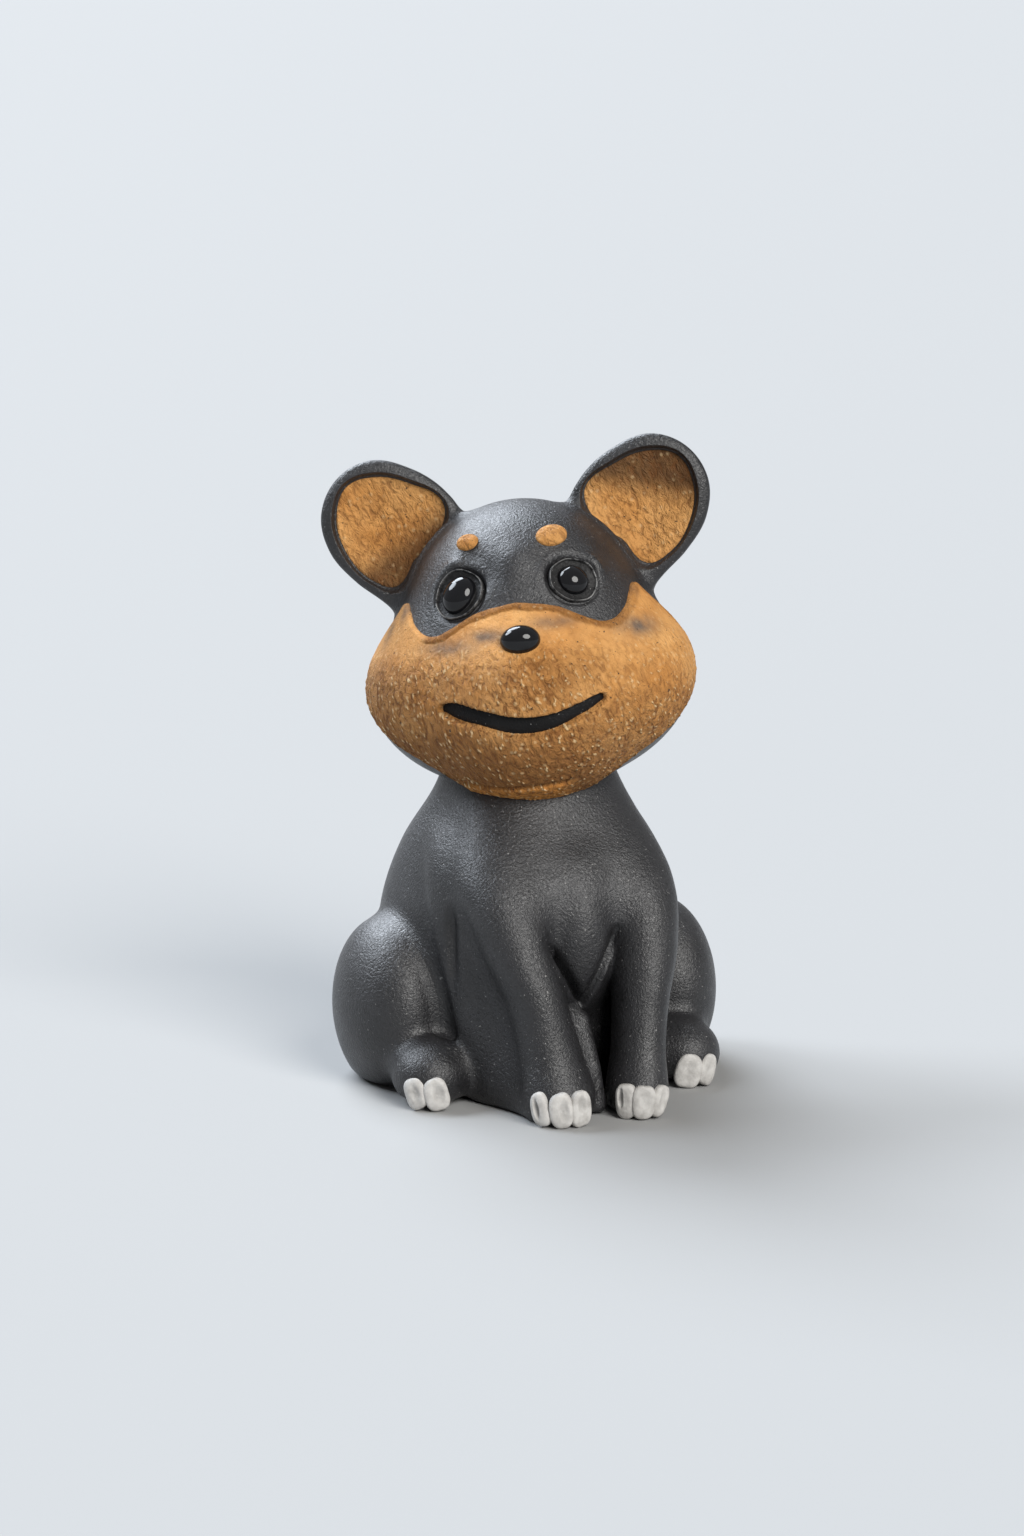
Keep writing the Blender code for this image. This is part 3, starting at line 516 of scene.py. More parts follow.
def rod_gap(line, rounds, p):
    """Distance outside a rod along a chain of points, its radius changing evenly from one to the next."""
    gaps = []
    for one, two, thick, thin in zip(np.array(line[:-1]), np.array(line[1:]), rounds[:-1], rounds[1:]):
        share, away = beside(one, two, p)
        gaps.append(away - thick - (thin - thick) * share)
    return np.minimum.reduce(gaps)


def ball_gap(at, half, p):
    """Distance outside a ball of three half sizes."""
    return gap(lambda q: np.linalg.norm((q - np.array(at)) / np.array(half), axis=-1), p)


def form_gaps(p):
    """Distance of every point outside each form of the body, by the name of the piece it belongs to."""
    gaps = {"body_shell": fill(gap(torso_share, p), ball_gap(*WEDGE, p), FLANK_FILLET)}
    gaps["body_shell"] = fill(gaps["body_shell"], rod_gap(RIB_LEFT, RIB_ROUND, p), LEG_FILLET)
    for side in TOWARD:
        gaps[f"foreleg_{side}"] = gap(lambda q: foreleg_share(side, q), p)
        gaps[f"haunch_{side}"] = ball_gap(mirrored(HAUNCH_AT, side), HAUNCH_HALF, p)
        gaps[f"hind_foot_{side}"] = ball_gap(mirrored(FOOT_AT, side), FOOT_HALF, p)
    narrowed = np.array([1 / WEB_WIDE, 1.0, 1.0])
    web = rod_gap(np.array(WEB) * narrowed, WEB_ROUND, p * narrowed)
    web = np.minimum(web, rod_gap(RIB_RIGHT, RIB_ROUND, p))
    gaps["foreleg_right"] = fill(gaps["foreleg_right"], web, LEG_FILLET)
    gaps["tail"] = tail_gap(p)
    return gaps


def flank_crease(p):
    """Depth of the crease of the right flank: a soft groove that runs up one bearing round the body."""
    bearing = np.degrees(np.arctan2(-p[..., 0], TORSO[2][1] - p[..., 1]))
    start, full, fade, end = CREASE_FADE
    upright = rise(p[..., 2], start, full) * rise(p[..., 2], end, fade)
    return CREASE_DEEP * upright * hill(bearing - CREASE_BEARING, CREASE_WIDE)


def wedge_grooves(p):
    """Depth of the two grooves along the wedge, seen from the front: each fades away from its line."""
    deep = 0.0
    for one, two in np.array(WEDGE_GROOVES):
        share, away = beside(one, two, p[..., [0, 2]])
        deep = np.maximum(deep, GROOVE_DEEP * rise(share, *GROOVE_BEGINS) * hill(away, GROOVE_WIDE))
    return deep * rise(-p[..., 1], *GROOVE_FRONT)


def clay(p):
    """The clay's common skin: the forms' distances joined with fillets and cut off at the floor.

    A foreleg's fillet is wide at the shoulder, narrower on the flank and tight between the legs."""
    gaps = form_gaps(p)
    skin = gaps["body_shell"]
    size = LEG_FILLET + (FLANK_FILLET - LEG_FILLET) * rise(np.abs(p[..., 0]), *FLANK_RISE)
    size = size + (SHOULDER_FILLET - size) * rise(p[..., 2], *SHOULDER_RISE)
    for side in TOWARD:
        skin = fill(skin, gaps[f"foreleg_{side}"], size)
        skin = fill(skin, gaps[f"haunch_{side}"], HAUNCH_FILLET)
        skin = fill(skin, gaps[f"hind_foot_{side}"], FOOT_FILLET)
    skin = fill(skin, gaps["tail"], TAIL_FILLET) + flank_crease(p) + wedge_grooves(p)
    return trim(skin, -p[..., 2], FLOOR_ROUND), gaps


def settle(own, start, way, common=clay, tuck=TUCK, most=SETTLE_MOST, rounds=10):
    """Moves points of one form along their ways to the common skin of all forms.

    Where another form is nearer they go under it, by `tuck` times the square of how much nearer."""
    far = np.zeros(start.shape[:-1])
    for _ in range(rounds):
        skin, gaps = common(start + way * far[..., None])
        other = np.minimum.reduce([g for name, g in gaps.items() if name != own])
        under = tuck * np.maximum(gaps[own] - other, 0.0) ** 2
        far = np.clip(far - SETTLE_STEP * (skin + under), *most)
    return start + way * far[..., None]


# meshes


def in_scene(name, data):
    """A new object in the scene, from a mesh, a lamp or a lens."""
    made = bpy.data.objects.new(name, data)
    bpy.context.scene.collection.objects.link(made)
    return made


def put_in(name, grid, finish, ends=None, marks=None, ring=False):
    """Puts a grid of closed rings in the scene as a piece, its faces outward, in metres.

    A point closes it at either end: one of the two given, or else the middle of its end ring.  A ring
    piece is closed on itself instead.  Marks are values for each point of the grid that its finish
    reads; the points after them get none."""
    rows, around = grid.shape[:2]
    points = grid.reshape(-1, 3)
    i, j = np.meshgrid(np.arange(rows if ring else rows - 1), np.arange(around), indexing="ij")
    n, k = (i + 1) % rows, (j + 1) % around
    quads = np.stack([i * around + j, i * around + k, n * around + k, n * around + j], -1).reshape(-1, 4)
    fans = []
    if not ring:
        first = np.arange(around)
        after, tip, last = (first + 1) % around, np.full(around, len(points)), (rows - 1) * around
        fans = [np.stack([tip, after, first], -1), np.stack([tip + 1, last + first, last + after], -1)]
        points = np.vstack([points, *(ends or (grid[0].mean(0), grid[-1].mean(0)))])
    a, b, c = points[np.concatenate([quads[:, [0, 1, 2]], quads[:, [0, 2, 3]], *fans])].transpose(1, 0, 2)
    faces = quads.tolist() + [face for fan in fans for face in fan.tolist()]
    if (a * np.cross(b, c)).sum() < 0:
        faces = [face[::-1] for face in faces]
    mesh = bpy.data.meshes.new(name)
    mesh.from_pydata((points + SET_BACK) * MM, [], faces)
    for mark, values in (marks or {}).items():
        values = np.asarray(values, float).ravel()
        values = np.concatenate([values, np.zeros(len(points) - len(values))]).astype(np.float32)
        mesh.attributes.new(mark, "FLOAT", "POINT").data.foreach_set("value", values)
    mesh.shade_smooth()
    piece = in_scene(name, mesh)
    material, slot = finish
    mesh.materials.append(material)
    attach(piece, "root")
    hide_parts(name)
    piece.name = f"{name}_clay"


# finishes


def plug(made, inputs):
    """Sets each named input of a node, or links it where it is given a socket.

    An input also goes by "i" and its number, where a node's names repeat."""
    for name, value in inputs.items():
        socket = made.inputs[int(name[1:]) if name[1:].isdigit() else name]
        if isinstance(value, bpy.types.NodeSocket):
            made.id_data.links.new(value, socket)
        else:
            socket.default_value = value


def node(tree, kind, settings=None, **inputs):
    """One shader node with its settings and inputs."""
    made = tree.nodes.new(kind)
    for name, value in (settings or {}).items():
        setattr(made, name, value)
    plug(made, inputs)
    return made


def noise(place, scale, detail=3.0, roughness=0.55, distortion=0.0):
    """Noise over the piece, `scale` lumps to the metre, from about 0.3 to 0.7."""
    inputs = {"Scale": scale, "Detail": detail, "Roughness": roughness, "Distortion": distortion}
    return node(place.id_data, "ShaderNodeTexNoise", Vector=place, **inputs).outputs["Fac"]


def between(value, low, high, to_low=0.0, to_high=1.0):
    """A value mapped from one range to another and held at its ends."""
    inputs = {"Value": value, "From Min": low, "From Max": high, "To Min": to_low, "To Max": to_high}
    return node(value.id_data, "ShaderNodeMapRange", {"clamp": True}, **inputs).outputs["Result"]


def blend(share, one, two):
    """Colour between one and two, by share."""
    return node(share.id_data, "ShaderNodeMix", {"data_type": "RGBA"}, i0=share, i6=one, i7=two).outputs[2]


def sums(operation, one, two):
    """Two values added and so on."""
    return node(one.id_data, "ShaderNodeMath", {"operation": operation}, i0=one, i1=two).outputs[0]


def times(one, two):
    """Two values multiplied."""
    return sums("MULTIPLY", one, two)


def bump(height, deep, strength=1.0, **under):
    """Surface relief from a height, `deep` metres for a height of one, over another relief as Normal."""
    inputs = {"Height": height, "Distance": deep, "Strength": strength, **under}
    return node(height.id_data, "ShaderNodeBump", **inputs).outputs["Normal"]


def mark(place, name):
    """Values that a piece carries on its points under this name."""
    return node(place.id_data, "ShaderNodeAttribute", {"attribute_name": name}).outputs["Fac"]


def new_finish(name):
    """An empty finish, with its shader and the piece's own coordinates."""
    made = bpy.data.materials.new(name)
    made.use_nodes = True
    place = node(made.node_tree, "ShaderNodeTexCoord").outputs["Object"]
    return made, made.node_tree.nodes["Principled BSDF"], place


def dress(shader, colour, rough, gloss, relief):
    """Gives a finish its colour, roughness, strength of gloss and relief."""
    plug(shader, {"Base Color": colour, "Roughness": rough, "Specular IOR Level": gloss, "Normal": relief})


def black_clay_finish(name, low, high, gloss, worn=False):
    """Fired black clay: cool dark grey, clouded, with wrinkled grain, tiny pits and pale specks; an edge
    that is marked as worn turns a mottled light grey."""
    made, shader, place = new_finish(name)
    colour = blend(between(noise(place, 160.0, 2.0), 0.3, 0.7), low, high)
    wrinkles = noise(place, 2700.0, 3.0, 0.6, 0.6)
    colour = blend(between(wrinkles, 0.46, 0.34), colour, BLACK_PIT)
    colour = blend(between(noise(place, 2900.0, 1.0), 0.725, 0.765), colour, PALE_SPECK)
    if worn:
        rubbed = between(noise(place, 1300.0, 4.0, 0.65), 0.38, 0.55)
        colour = blend(times(rubbed, mark(place, "worn")), colour, RUBBED_GREY)
    dull = between(noise(place, 420.0, 3.0), 0.3, 0.7, 0.35, 0.44)
    uneven = bump(noise(place, 500.0, 2.0), 0.0001, 0.5)
    wrinkled = bump(wrinkles, 0.00018, 0.7, Normal=uneven)
    dress(shader, colour, dull, gloss, bump(noise(place, 4200.0, 2.0, 0.6), 0.0001, 0.7, Normal=wrinkled))
    return made, "black_clay"


def ochre_finish(name, marked):
    """Sandy ochre slip: warm and patchy, with short slanted ridges with painted shade in their furrows,
    pale grit, and on the coat painted glints on the highest grains.

    Where the coat marks them its band is darker, also as painted shade above the lap's fold, its stains
    are grey, its lap is bright, its fold, its low parts and its right side carry painted shade, and it is
    darker where its grains lie closer; where a lining marks it, it carries painted shade under the
    ear's rim, partly a dark stain."""
    made, shader, place = new_finish(name)
    patches = between(noise(place, 150.0, 3.0), 0.35, 0.65)
    colour = blend(patches, OCHRE_DEEP, OCHRE_PALE)
    slant = {"Vector": place, "Rotation": (0.0, -0.5, 0.0), "Scale": (1.0, 1.0, 2.2)}
    slanted = node(place.id_data, "ShaderNodeMapping", {"vector_type": "TEXTURE"}, **slant)
    ridges = noise(slanted.outputs["Vector"], 1500.0, 4.0, 0.62, 0.8)
    mottled = between(noise(place, 420.0, 4.0, 0.6), 0.36, 0.64)
    grit = node(place.id_data, "ShaderNodeTexVoronoi", Vector=place, Scale=1250.0).outputs
    one_of_many = node(place.id_data, "ShaderNodeSeparateColor", Color=grit["Color"]).outputs[0]
    grit = times(between(grit["Distance"], 0.4, 0.12), between(one_of_many, 0.7, 0.76))
    darker = times(mottled, between(patches, 0.0, 1.0, 0.4, 0.12))
    if marked:
        rough = mark(place, "rough")
        # painted glints on the tips of the highest grains, joined with the pale grit
        grit = sums("MAXIMUM", times(grit, 0.5), between(mark(place, "grain"), 0.5, 0.85))
        grit = times(grit, between(rough, 0.0, 1.0, 0.25, 1.0))
        strength = between(rough, 0.0, 1.0, 0.15, 1.0)
        stained = times(mark(place, "stain"), between(noise(place, 330.0, 4.0), 0.12, 0.52))
        colour = blend(stained, colour, STAIN_GREY)
        # tints: the band's own darker tone, also painted shade above the lap's fold; the lap's brighter
        # orange; painted shade in the lap's fold
        tints = ("band", 0.85, BAND_AND_FOLD_SHADE_BROWN), ("lap", 0.85, LAP_ORANGE), ("crease", 0.8, FOLD_SHADE_BROWN)
        for kind, share, tint in tints:
            colour = blend(times(mark(place, kind), share), colour, tint)
        # painted shade low on the face and on the puppy's right side
        darker = sums("ADD", darker, mark(place, "low"))
        darker = sums("ADD", darker, between(rough, 0.3, 1.0, 0.0, 0.34))
    else:
        grit, strength = times(grit, 0.3), 0.7
        # painted shade under the ear's rim, partly a dark stain
        shade = times(mark(place, "shade"), between(mottled, 0.0, 1.0, 0.8, 1.0))
        colour = blend(shade, colour, SHADE_AND_STAIN_BROWN)
    colour = blend(darker, colour, OCHRE_DARK)
    # painted shade in the furrows between the ridges, stronger where the grains lie closer
    colour = blend(times(times(between(ridges, 0.52, 0.36), 0.82), strength), colour, FURROW_SHADE_BROWN)
    # pale grit, and on the coat painted glints on the highest grains
    colour = blend(times(grit, 0.8), colour, PALE_GRIT_AND_GLINT)
    colour = blend(times(between(noise(place, 2300.0, 1.0), 0.73, 0.75), 0.9), colour, DOT_BROWN)
    relief = bump(times(ridges, strength), 0.0011, 0.9)
    relief = bump(grit, 0.00012, 0.8, Normal=relief)
    relief = bump(noise(place, 4200.0, 3.0, 0.6), 0.00012, 0.7, Normal=relief)
    dress(shader, colour, between(grit, 0.0, 1.0, 0.68, 0.38), 0.28, relief)
    return made, "ochre_clay"


def white_clay_finish():
    """White clay pressed on by hand, with painted shade in the dents."""
    made, shader, place = new_finish("white_clay_pressed")
    colour = blend(between(noise(place, 900.0, 3.0), 0.35, 0.7), WHITE_PALE, WHITE_GREY)
    colour = blend(mark(place, "dent"), colour, DENT_SHADE_GREY)
    dress(shader, colour, 0.7, 0.5, bump(noise(place, 2400.0, 3.0), 0.00008, 0.8))
    return made, "white_clay"


def gloss_finish():
    """Glossy black glaze."""
    made, shader, _ = new_finish("black_gloss")
    plug(shader, {"Base Color": GLAZE_BLACK, "Roughness": 0.06, "Specular IOR Level": 0.34})
    return made, "black_glaze"


# colours of the clay, then of what lies in it or on it
BLACK_PIT = (0.008, 0.0078, 0.008, 1)
PALE_SPECK = (0.2, 0.195, 0.19, 1)
RUBBED_GREY = (0.3, 0.295, 0.29, 1)
OCHRE_DEEP = (0.57, 0.25, 0.062, 1)
OCHRE_PALE = (0.74, 0.385, 0.13, 1)
OCHRE_DARK = (0.3, 0.13, 0.035, 1)
STAIN_GREY = (0.13, 0.108, 0.088, 1)
# brown of the band along the coat's upper rim, also painted shade in a strip above the lap's fold
BAND_AND_FOLD_SHADE_BROWN = (0.3, 0.12, 0.022, 1)
LAP_ORANGE = (0.8, 0.31, 0.055, 1)
# painted shade in the fold along the lap's upper edge
FOLD_SHADE_BROWN = (0.07, 0.03, 0.012, 1)
# painted shade under the ears' rims, partly a dark stain
SHADE_AND_STAIN_BROWN = (0.055, 0.024, 0.009, 1)
# painted shade in the furrows of the slip
FURROW_SHADE_BROWN = (0.17, 0.06, 0.012, 1)
# pale grit, and painted glints on the tips of grains
PALE_GRIT_AND_GLINT = (0.95, 0.70, 0.38, 1)
DOT_BROWN = (0.06, 0.035, 0.02, 1)
WHITE_PALE = (0.6, 0.585, 0.56, 1)
WHITE_GREY = (0.41, 0.395, 0.375, 1)
# painted shade in the claws' dents
DENT_SHADE_GREY = (0.17, 0.165, 0.16, 1)
GLAZE_BLACK = (0.006, 0.006, 0.007, 1)

# darker and lighter clouds of the fired clay, of its worn edges and of the mouth
FIRED = (0.0125, 0.0122, 0.0132, 1), (0.0235, 0.023, 0.0246, 1)
WORN = (0.009, 0.0088, 0.009, 1), (0.016, 0.0156, 0.016, 1)
DARK = (0.005, 0.0048, 0.005, 1), (0.014, 0.0135, 0.014, 1)

# each finish with its slot; the black ones with their strength of gloss
BLACK = black_clay_finish("black_clay_fired", *FIRED, 0.56)
BLACK_WORN = black_clay_finish("black_clay_worn", *WORN, 0.16, True)
MOUTH_BLACK = black_clay_finish("mouth_black", *DARK, 0.12)
OCHRE = ochre_finish("ochre_coat", True)
LINING = ochre_finish("ochre_lining", False)
WHITE = white_clay_finish()
GLOSS = gloss_finish()


# body, legs, haunches, hind feet and tail


def torso_rings(z, turn, grow=0.0):
    """Rings of the body: half ellipses to the front and back of a middle, moved out by grow."""
    z, turn = np.asarray(z, float)[:, None], turn[None]
    middle, wide, front, back = torso_at(z)
    y = middle - np.cos(turn) * np.where(np.cos(turn) > 0, front, back)
    grid = np.stack([np.sin(turn) * wide, y, z + 0 * turn], 2)
    return grid + outward(grid) * LEVEL * grow


def from_floor(top, count):
    """Heights from the floor to the top, closer together in the rounding at the floor."""
    share = np.linspace(0, 1, count)
    return top * (0.25 * share**2.2 + 0.75 * share**1.15)


def ball_ways(fall, around):
    """Directions of a ball in rings, from straight down at a fall of 0 to straight up at half a turn."""
    fall, turn = fall[:, None], turns(around)[None]
    return np.stack([np.sin(fall) * np.cos(turn), np.sin(fall) * np.sin(turn), -np.cos(fall) + 0 * turn], 2)


def slid(name, start, way, **how):
    """Points of one form settled to the common skin along ways that turn level near the floor."""
    share = rise(start[..., 2], *LEVEL_BELOW)[..., None]
    return settle(name, start, unit(way * LEVEL * (1 - share) + way * share), **how)


def put_settled(name, start, way, **how):
    """Puts one form of the body in the scene, settled."""
    put_in(name, slid(name, start, way, **how), BLACK)


def make_body():
    """Body: its hollow from the dome down, the ring it stands on, then the outside up to the neck."""
    turn = crowded(310, 0.28)
    start = torso_rings(from_floor(TORSO[-1][0], 280), turn)
    outside = slid("body_shell", start, outward(start))
    inside = torso_rings(np.linspace(0, HOLLOW_TOP, 24), turn, -BODY_WALL)[::-1]
    ends = [inside[0].mean(0) + UP * HOLLOW_DOME, outside[-1].mean(0)]
    put_in("body_shell", np.concatenate([inside, outside]), BLACK, ends)


def make_forelegs():
    """Forelegs: level rings up to the shoulder, a point on top, and a flat sole."""
    turn = turns(190)
    behind = np.maximum(-np.cos(turn), 0.0)[None]
    z = from_floor(FORELEG_SHOULDER + FORELEG_CAP - 0.02, 240)[:, None]
    cap = np.sqrt(1 - (np.maximum(z - FORELEG_SHOULDER, 0) / FORELEG_CAP) ** 2)
    for side in TOWARD:
        x, y, wide, fore, back, splay = foreleg_parts(side, z)
        px = x + cap * (splay * eased(behind) + np.sin(turn) * wide)
        py = y + cap * np.where(behind > 0, behind * back, -np.cos(turn) * fore)
        start = np.stack([px, py, z + 0 * turn], 2)
        put_settled(f"foreleg_{side}", start, outward(start), rounds=20)


def make_standing_ball(name, at, half, around, rows):
    """A ball of three half sizes, flat on the floor and settled into the clay round it."""
    low = math.acos(min(1.0, at[2] / half[2]))
    ways = ball_ways(np.linspace(low, math.pi - 0.012, rows), around)
    put_settled(name, at + ways * half, unit(ways / half))


def make_tail():
    """Tail: round rings along its middle line, closed with round ends, settled into the rump."""
    along = np.linspace(0, 1, 90)[1:-1]
    share = TAIL_END + (1 - 2 * TAIL_END) * np.clip((along - TAIL_CAP) / (1 - 2 * TAIL_CAP), 0, 1)
    tip, root = (np.cos(np.clip(far / TAIL_CAP, 0, 1) * math.pi / 2) for far in (1 - along, along))
    lean = (tip - root)[:, None, None]
    radius = (TAIL_ROOT + (TAIL_TIP - TAIL_ROOT) * share)[:, None, None]
    bearing = np.radians(TAIL_BEARING + TAIL_SWEEP * share)[:, None]
    sine, cosine, level = np.sin(bearing), np.cos(bearing), 0 * bearing
    turn = turns(80)[None, :, None]
    way = np.cos(turn) * np.stack([sine, cosine, level], -1) + np.sin(turn) * UP
    way = way * np.sqrt(1 - lean**2) + np.stack([cosine, -sine, level], -1) * lean
    start = tail_place(share)[:, None] + way * radius
    start[..., 2] = np.maximum(start[..., 2], 0.0)
    put_settled("tail", start, way)


# claws


def make_claw(name, at, way):
    """A claw: a petal of clay pressed on the paw, a ball with a blunt front whose middle is pushed in.

    Its outline is an ellipse of the power CLAW_SQUARE with slight waves.  Its rings reach out by the
    sine of their fall to the power CLAW_SHOULDER and forward by the cosine to the power CLAW_FRONT,
    less the dent's depth times a round hollow about the dent's own middle."""
    wide, high, lean, across, up, dent_wide, dent_high, pressed = CLAWS[name]
    fall, turn = np.linspace(0, math.pi, 92)[1:-1, None], turns(96)[None]
    side = np.array([math.cos(way), math.sin(way), 0.0])
    out = np.array([math.sin(way), -math.cos(way), 0.0])
    outline = np.abs(np.cos(turn)) ** CLAW_SQUARE + np.abs(np.sin(turn)) ** CLAW_SQUARE
    waves = CLAW_WAVES[0] * np.sin(2 * turn + 40 * wide) + CLAW_WAVES[1] * np.sin(3 * turn + 90 * high)
    outline = outline ** (-1 / CLAW_SQUARE) * (1 + waves)
    reach = np.sin(fall) ** CLAW_SHOULDER
    x, z = reach * np.cos(turn) * outline * wide, reach * np.sin(turn) * outline * high
    y = -np.cos(fall) + 0 * turn
    hollow = np.hypot((x - across * wide) / dent_wide, (z - up * high) / dent_high)
    dent = np.where(y > 0, rise(hollow, 1.15, 0.25), 0.0) * rise(1 - reach, 0.02, 0.25)
    y = np.sign(y) * np.abs(y) ** CLAW_FRONT * CLAW_DEEP - pressed * dent
    x, z = leaned(x, z, lean)
    z = np.maximum(z, CLAW_CLEAR - at[2])
    grid = at + x[..., None] * side + y[..., None] * out + z[..., None] * UP
    # the dent carries painted shade, stronger the deeper it is pressed
    put_in(name, grid, WHITE, marks={"dent": dent * min(1.0, DENT_SHADE * pressed)})


def make_claws():
    """Three claws round each fore paw and two round each hind foot, on the paw's own outline."""
    level = math.sqrt(1 - ((HIND_CLAW_UP - FOOT_AT[2]) / FOOT_HALF[2]) ** 2)
    for side in TOWARD:
        paw = [float(v) for v in foreleg_parts(side, FORE_CLAW_UP)[:4]]
        foot = [*mirrored(FOOT_AT, side)[:2], FOOT_HALF[0] * level, FOOT_HALF[1] * level]
        fore, hind = ("fore", 3, FORE_CLAW_UP, FORE_TURN, paw), ("hind", 2, HIND_CLAW_UP, HIND_TURN, foot)
        for kind, count, up, turn, (x, y, wide, reach) in (fore, hind):
            for i in range(count):
                way = math.radians(turn[side] + CLAW_PITCH * (i - (count - 1) / 2))
                at = np.array([x + math.sin(way) * wide, y - math.cos(way) * reach, up])
                make_claw(f"{kind}_claw_{side}_{i + 1}", at, way)


# head


def turned(axis, degrees):
    """Matrix of a turn about one axis."""
    c, s = cos_sin(degrees)
    one, two = [(1, 2), (2, 0), (0, 1)][axis]
    matrix = np.eye(3)
    matrix[one, one] = matrix[two, two] = c
    matrix[one, two], matrix[two, one] = -s, s
    return matrix


HEAD_AXES = turned(2, HEAD_TURN) @ turned(0, HEAD_CHIN_UP) @ turned(1, HEAD_LEAN)


def put_on_head(name, grid, finish, ends=None, **how):
    """Puts a grid of the head's own frame in the scene, turned and raised with the head."""
    grid, *ends = (np.array(p) @ HEAD_AXES.T + UP * HEAD_UP for p in (grid, *(ends or ())))
    put_in(name, grid, finish, ends or None, **how)


def far_side(ways, ball):
    """Distance from the origin along each unit direction to the far side of a ball of three half sizes."""
    d, c = ways / np.array(ball[1]), np.array(ball[0]) / np.array(ball[1])
    a, b = (d * d).sum(-1), (d * c).sum(-1)
    return (b + np.sqrt(np.maximum(b * b - a * ((c * c).sum() - 1), 0.0))) / a


def joined(one, two, size):
    """The larger of two reaches, rounded where they come within `size` of each other."""
    near = np.maximum(size - np.abs(one - two), 0.0) / size
    return np.maximum(one, two) + near**2 * size / 4


def plain_reach(ways):
    """Distance from the middle of the head to its plain skin: skull, cheeks and muzzle, blended."""
    reach = joined(far_side(ways, SKULL), far_side(ways, CHEEKS), CHEEK_BLEND)
    return joined(reach, far_side(ways, MUZZLE), MUZZLE_BLEND)


def head_reach(ways):
    """Distance from the middle of the head to its skin with the soft relief of the face."""
    return plain_reach(ways) + broad_relief(ways)


def way_to(across, up):
    """Unit direction that lies so many degrees across and up from the axis through the face."""
    across, up = np.asarray(across, float), np.asarray(up, float)
    away = np.hypot(across, up)
    share = np.sin(np.radians(away)) / np.maximum(away, 1e-9)
    return np.stack([across * share, -np.cos(np.radians(away)), up * share], -1)


def degrees_of(ways):
    """Degrees across and up of unit directions, the other way round from way_to."""
    away = np.degrees(np.arccos(np.clip(-ways[..., 1], -1, 1)))
    share = away / np.maximum(np.hypot(ways[..., 0], ways[..., 2]), 1e-9)
    return ways[..., 0] * share, ways[..., 2] * share


def on_head(across, up, lift=0.0):
    """Point of the head's skin at a place on the face, moved out by lift."""
    ways = way_to(across, up)
    return ways * (head_reach(ways) + lift)[..., None]


def skin_frame(across, up):
    """Place on the head's skin with its directions across, up and out."""
    side = on_head(across + 0.5, up) - on_head(across - 0.5, up)
    out = unit(np.cross(side, on_head(across, up + 0.5) - on_head(across, up - 0.5)))
    side = unit(np.cross(out, UP))
    side = side * np.sign(side[0])
    above = np.cross(out, side)
    return on_head(across, up), side, above * np.sign(above[2]), out


def broad_relief(ways):
    """Soft relief of the face: round hills and hollows that fade over an angle from their middles."""
    relief = np.zeros(ways.shape[:-1])
    for at, size, high in FACE_RELIEF:
        away = np.degrees(np.arccos(np.clip(ways @ way_to(*at), -1, 1)))
        relief = relief + high * hill(away, size)
    return relief


def face_relief(p, ways):
    """Fine relief of the head: a crease round each eye ring, a soft fold over its upper side, a seat under
    it, and a slot behind the mouth."""
    relief = np.zeros(p.shape[:-1])
    for side, (wide, high) in EYE_RING_HALF.items():
        here, across, above, _ = skin_frame(*EYES[side])
        x, y = (p - here) @ across / wide, (p - here) @ above / high
        away, upper = np.hypot(x, y), rise(y, -0.5, 0.9)
        at, width, deep, deeper = EYE_CREASE
        relief = relief - (deep + deeper * upper) * hill(away - at, width)
        at, width, proud = EYE_FOLD
        relief = relief + proud * upper * hill(away - at, width)
        start, full, deep = EYE_SEAT
        relief = relief - deep * rise(away, start, full)
    relief = relief - HEAD_SLOT * rise(mouth_gap(*degrees_of(ways)), 0.5, 0.05)
    return relief * rise(-ways[..., 1], 0.2, 0.5)


def head_gap(p):
    """Distance outside the head's plain skin."""
    return gap(lambda q: np.linalg.norm(q, axis=-1) / plain_reach(unit(q)), p)


def ear_share(side, p):
    """Share of the way out of an ear: a lens on its outline, squarer at the front than at the back."""
    x, y, z = p[..., 0] * TOWARD[side] - EAR_AT[0], p[..., 1] - EAR_AT[1], p[..., 2] - EAR_AT[2]
    out = np.hypot(x, z) / np.interp(np.degrees(np.arctan2(z, x)) % 360, EAR_TURNS, EAR_RIM_FINE)
    power = np.where(y < 0, EAR_SQUARE, EAR_BULGE)
    deep = np.abs(y) / np.where(y < 0, EAR_FRONT, EAR_BACK)
    return (out**power + deep**power) ** (1 / power)


def head_clay(p):
    """Common skin of the head and ears: their distances joined with a fillet."""
    gaps = {"head": head_gap(p)}
    skin = gaps["head"]
    for side in TOWARD:
        gaps[f"ear_{side}"] = gap(lambda q: ear_share(side, q), p)
        skin = fill(skin, gaps[f"ear_{side}"], EAR_FILLET)
    return skin, gaps


def make_head():
    """Head: rings of latitude round its upright axis, crowded towards the face, run up to the ears."""
    turn = crowded(430, 0.35)[None]
    fall = np.linspace(-math.pi / 2, math.pi / 2, 228)[1:-1, None]
    level = np.cos(fall)
    ways = np.stack([np.sin(turn) * level, -np.cos(turn) * level, np.sin(fall) + 0 * turn], -1)
    plain = ways * plain_reach(ways)[..., None]
    skin = settle("head", plain, ways, head_clay, HEAD_TUCK, HEAD_MOST)
    skin = skin + ways * (broad_relief(ways) + face_relief(plain, ways))[..., None]
    put_on_head("head", skin, BLACK, [end * plain_reach(end) for end in (-UP, UP)])


# face coat


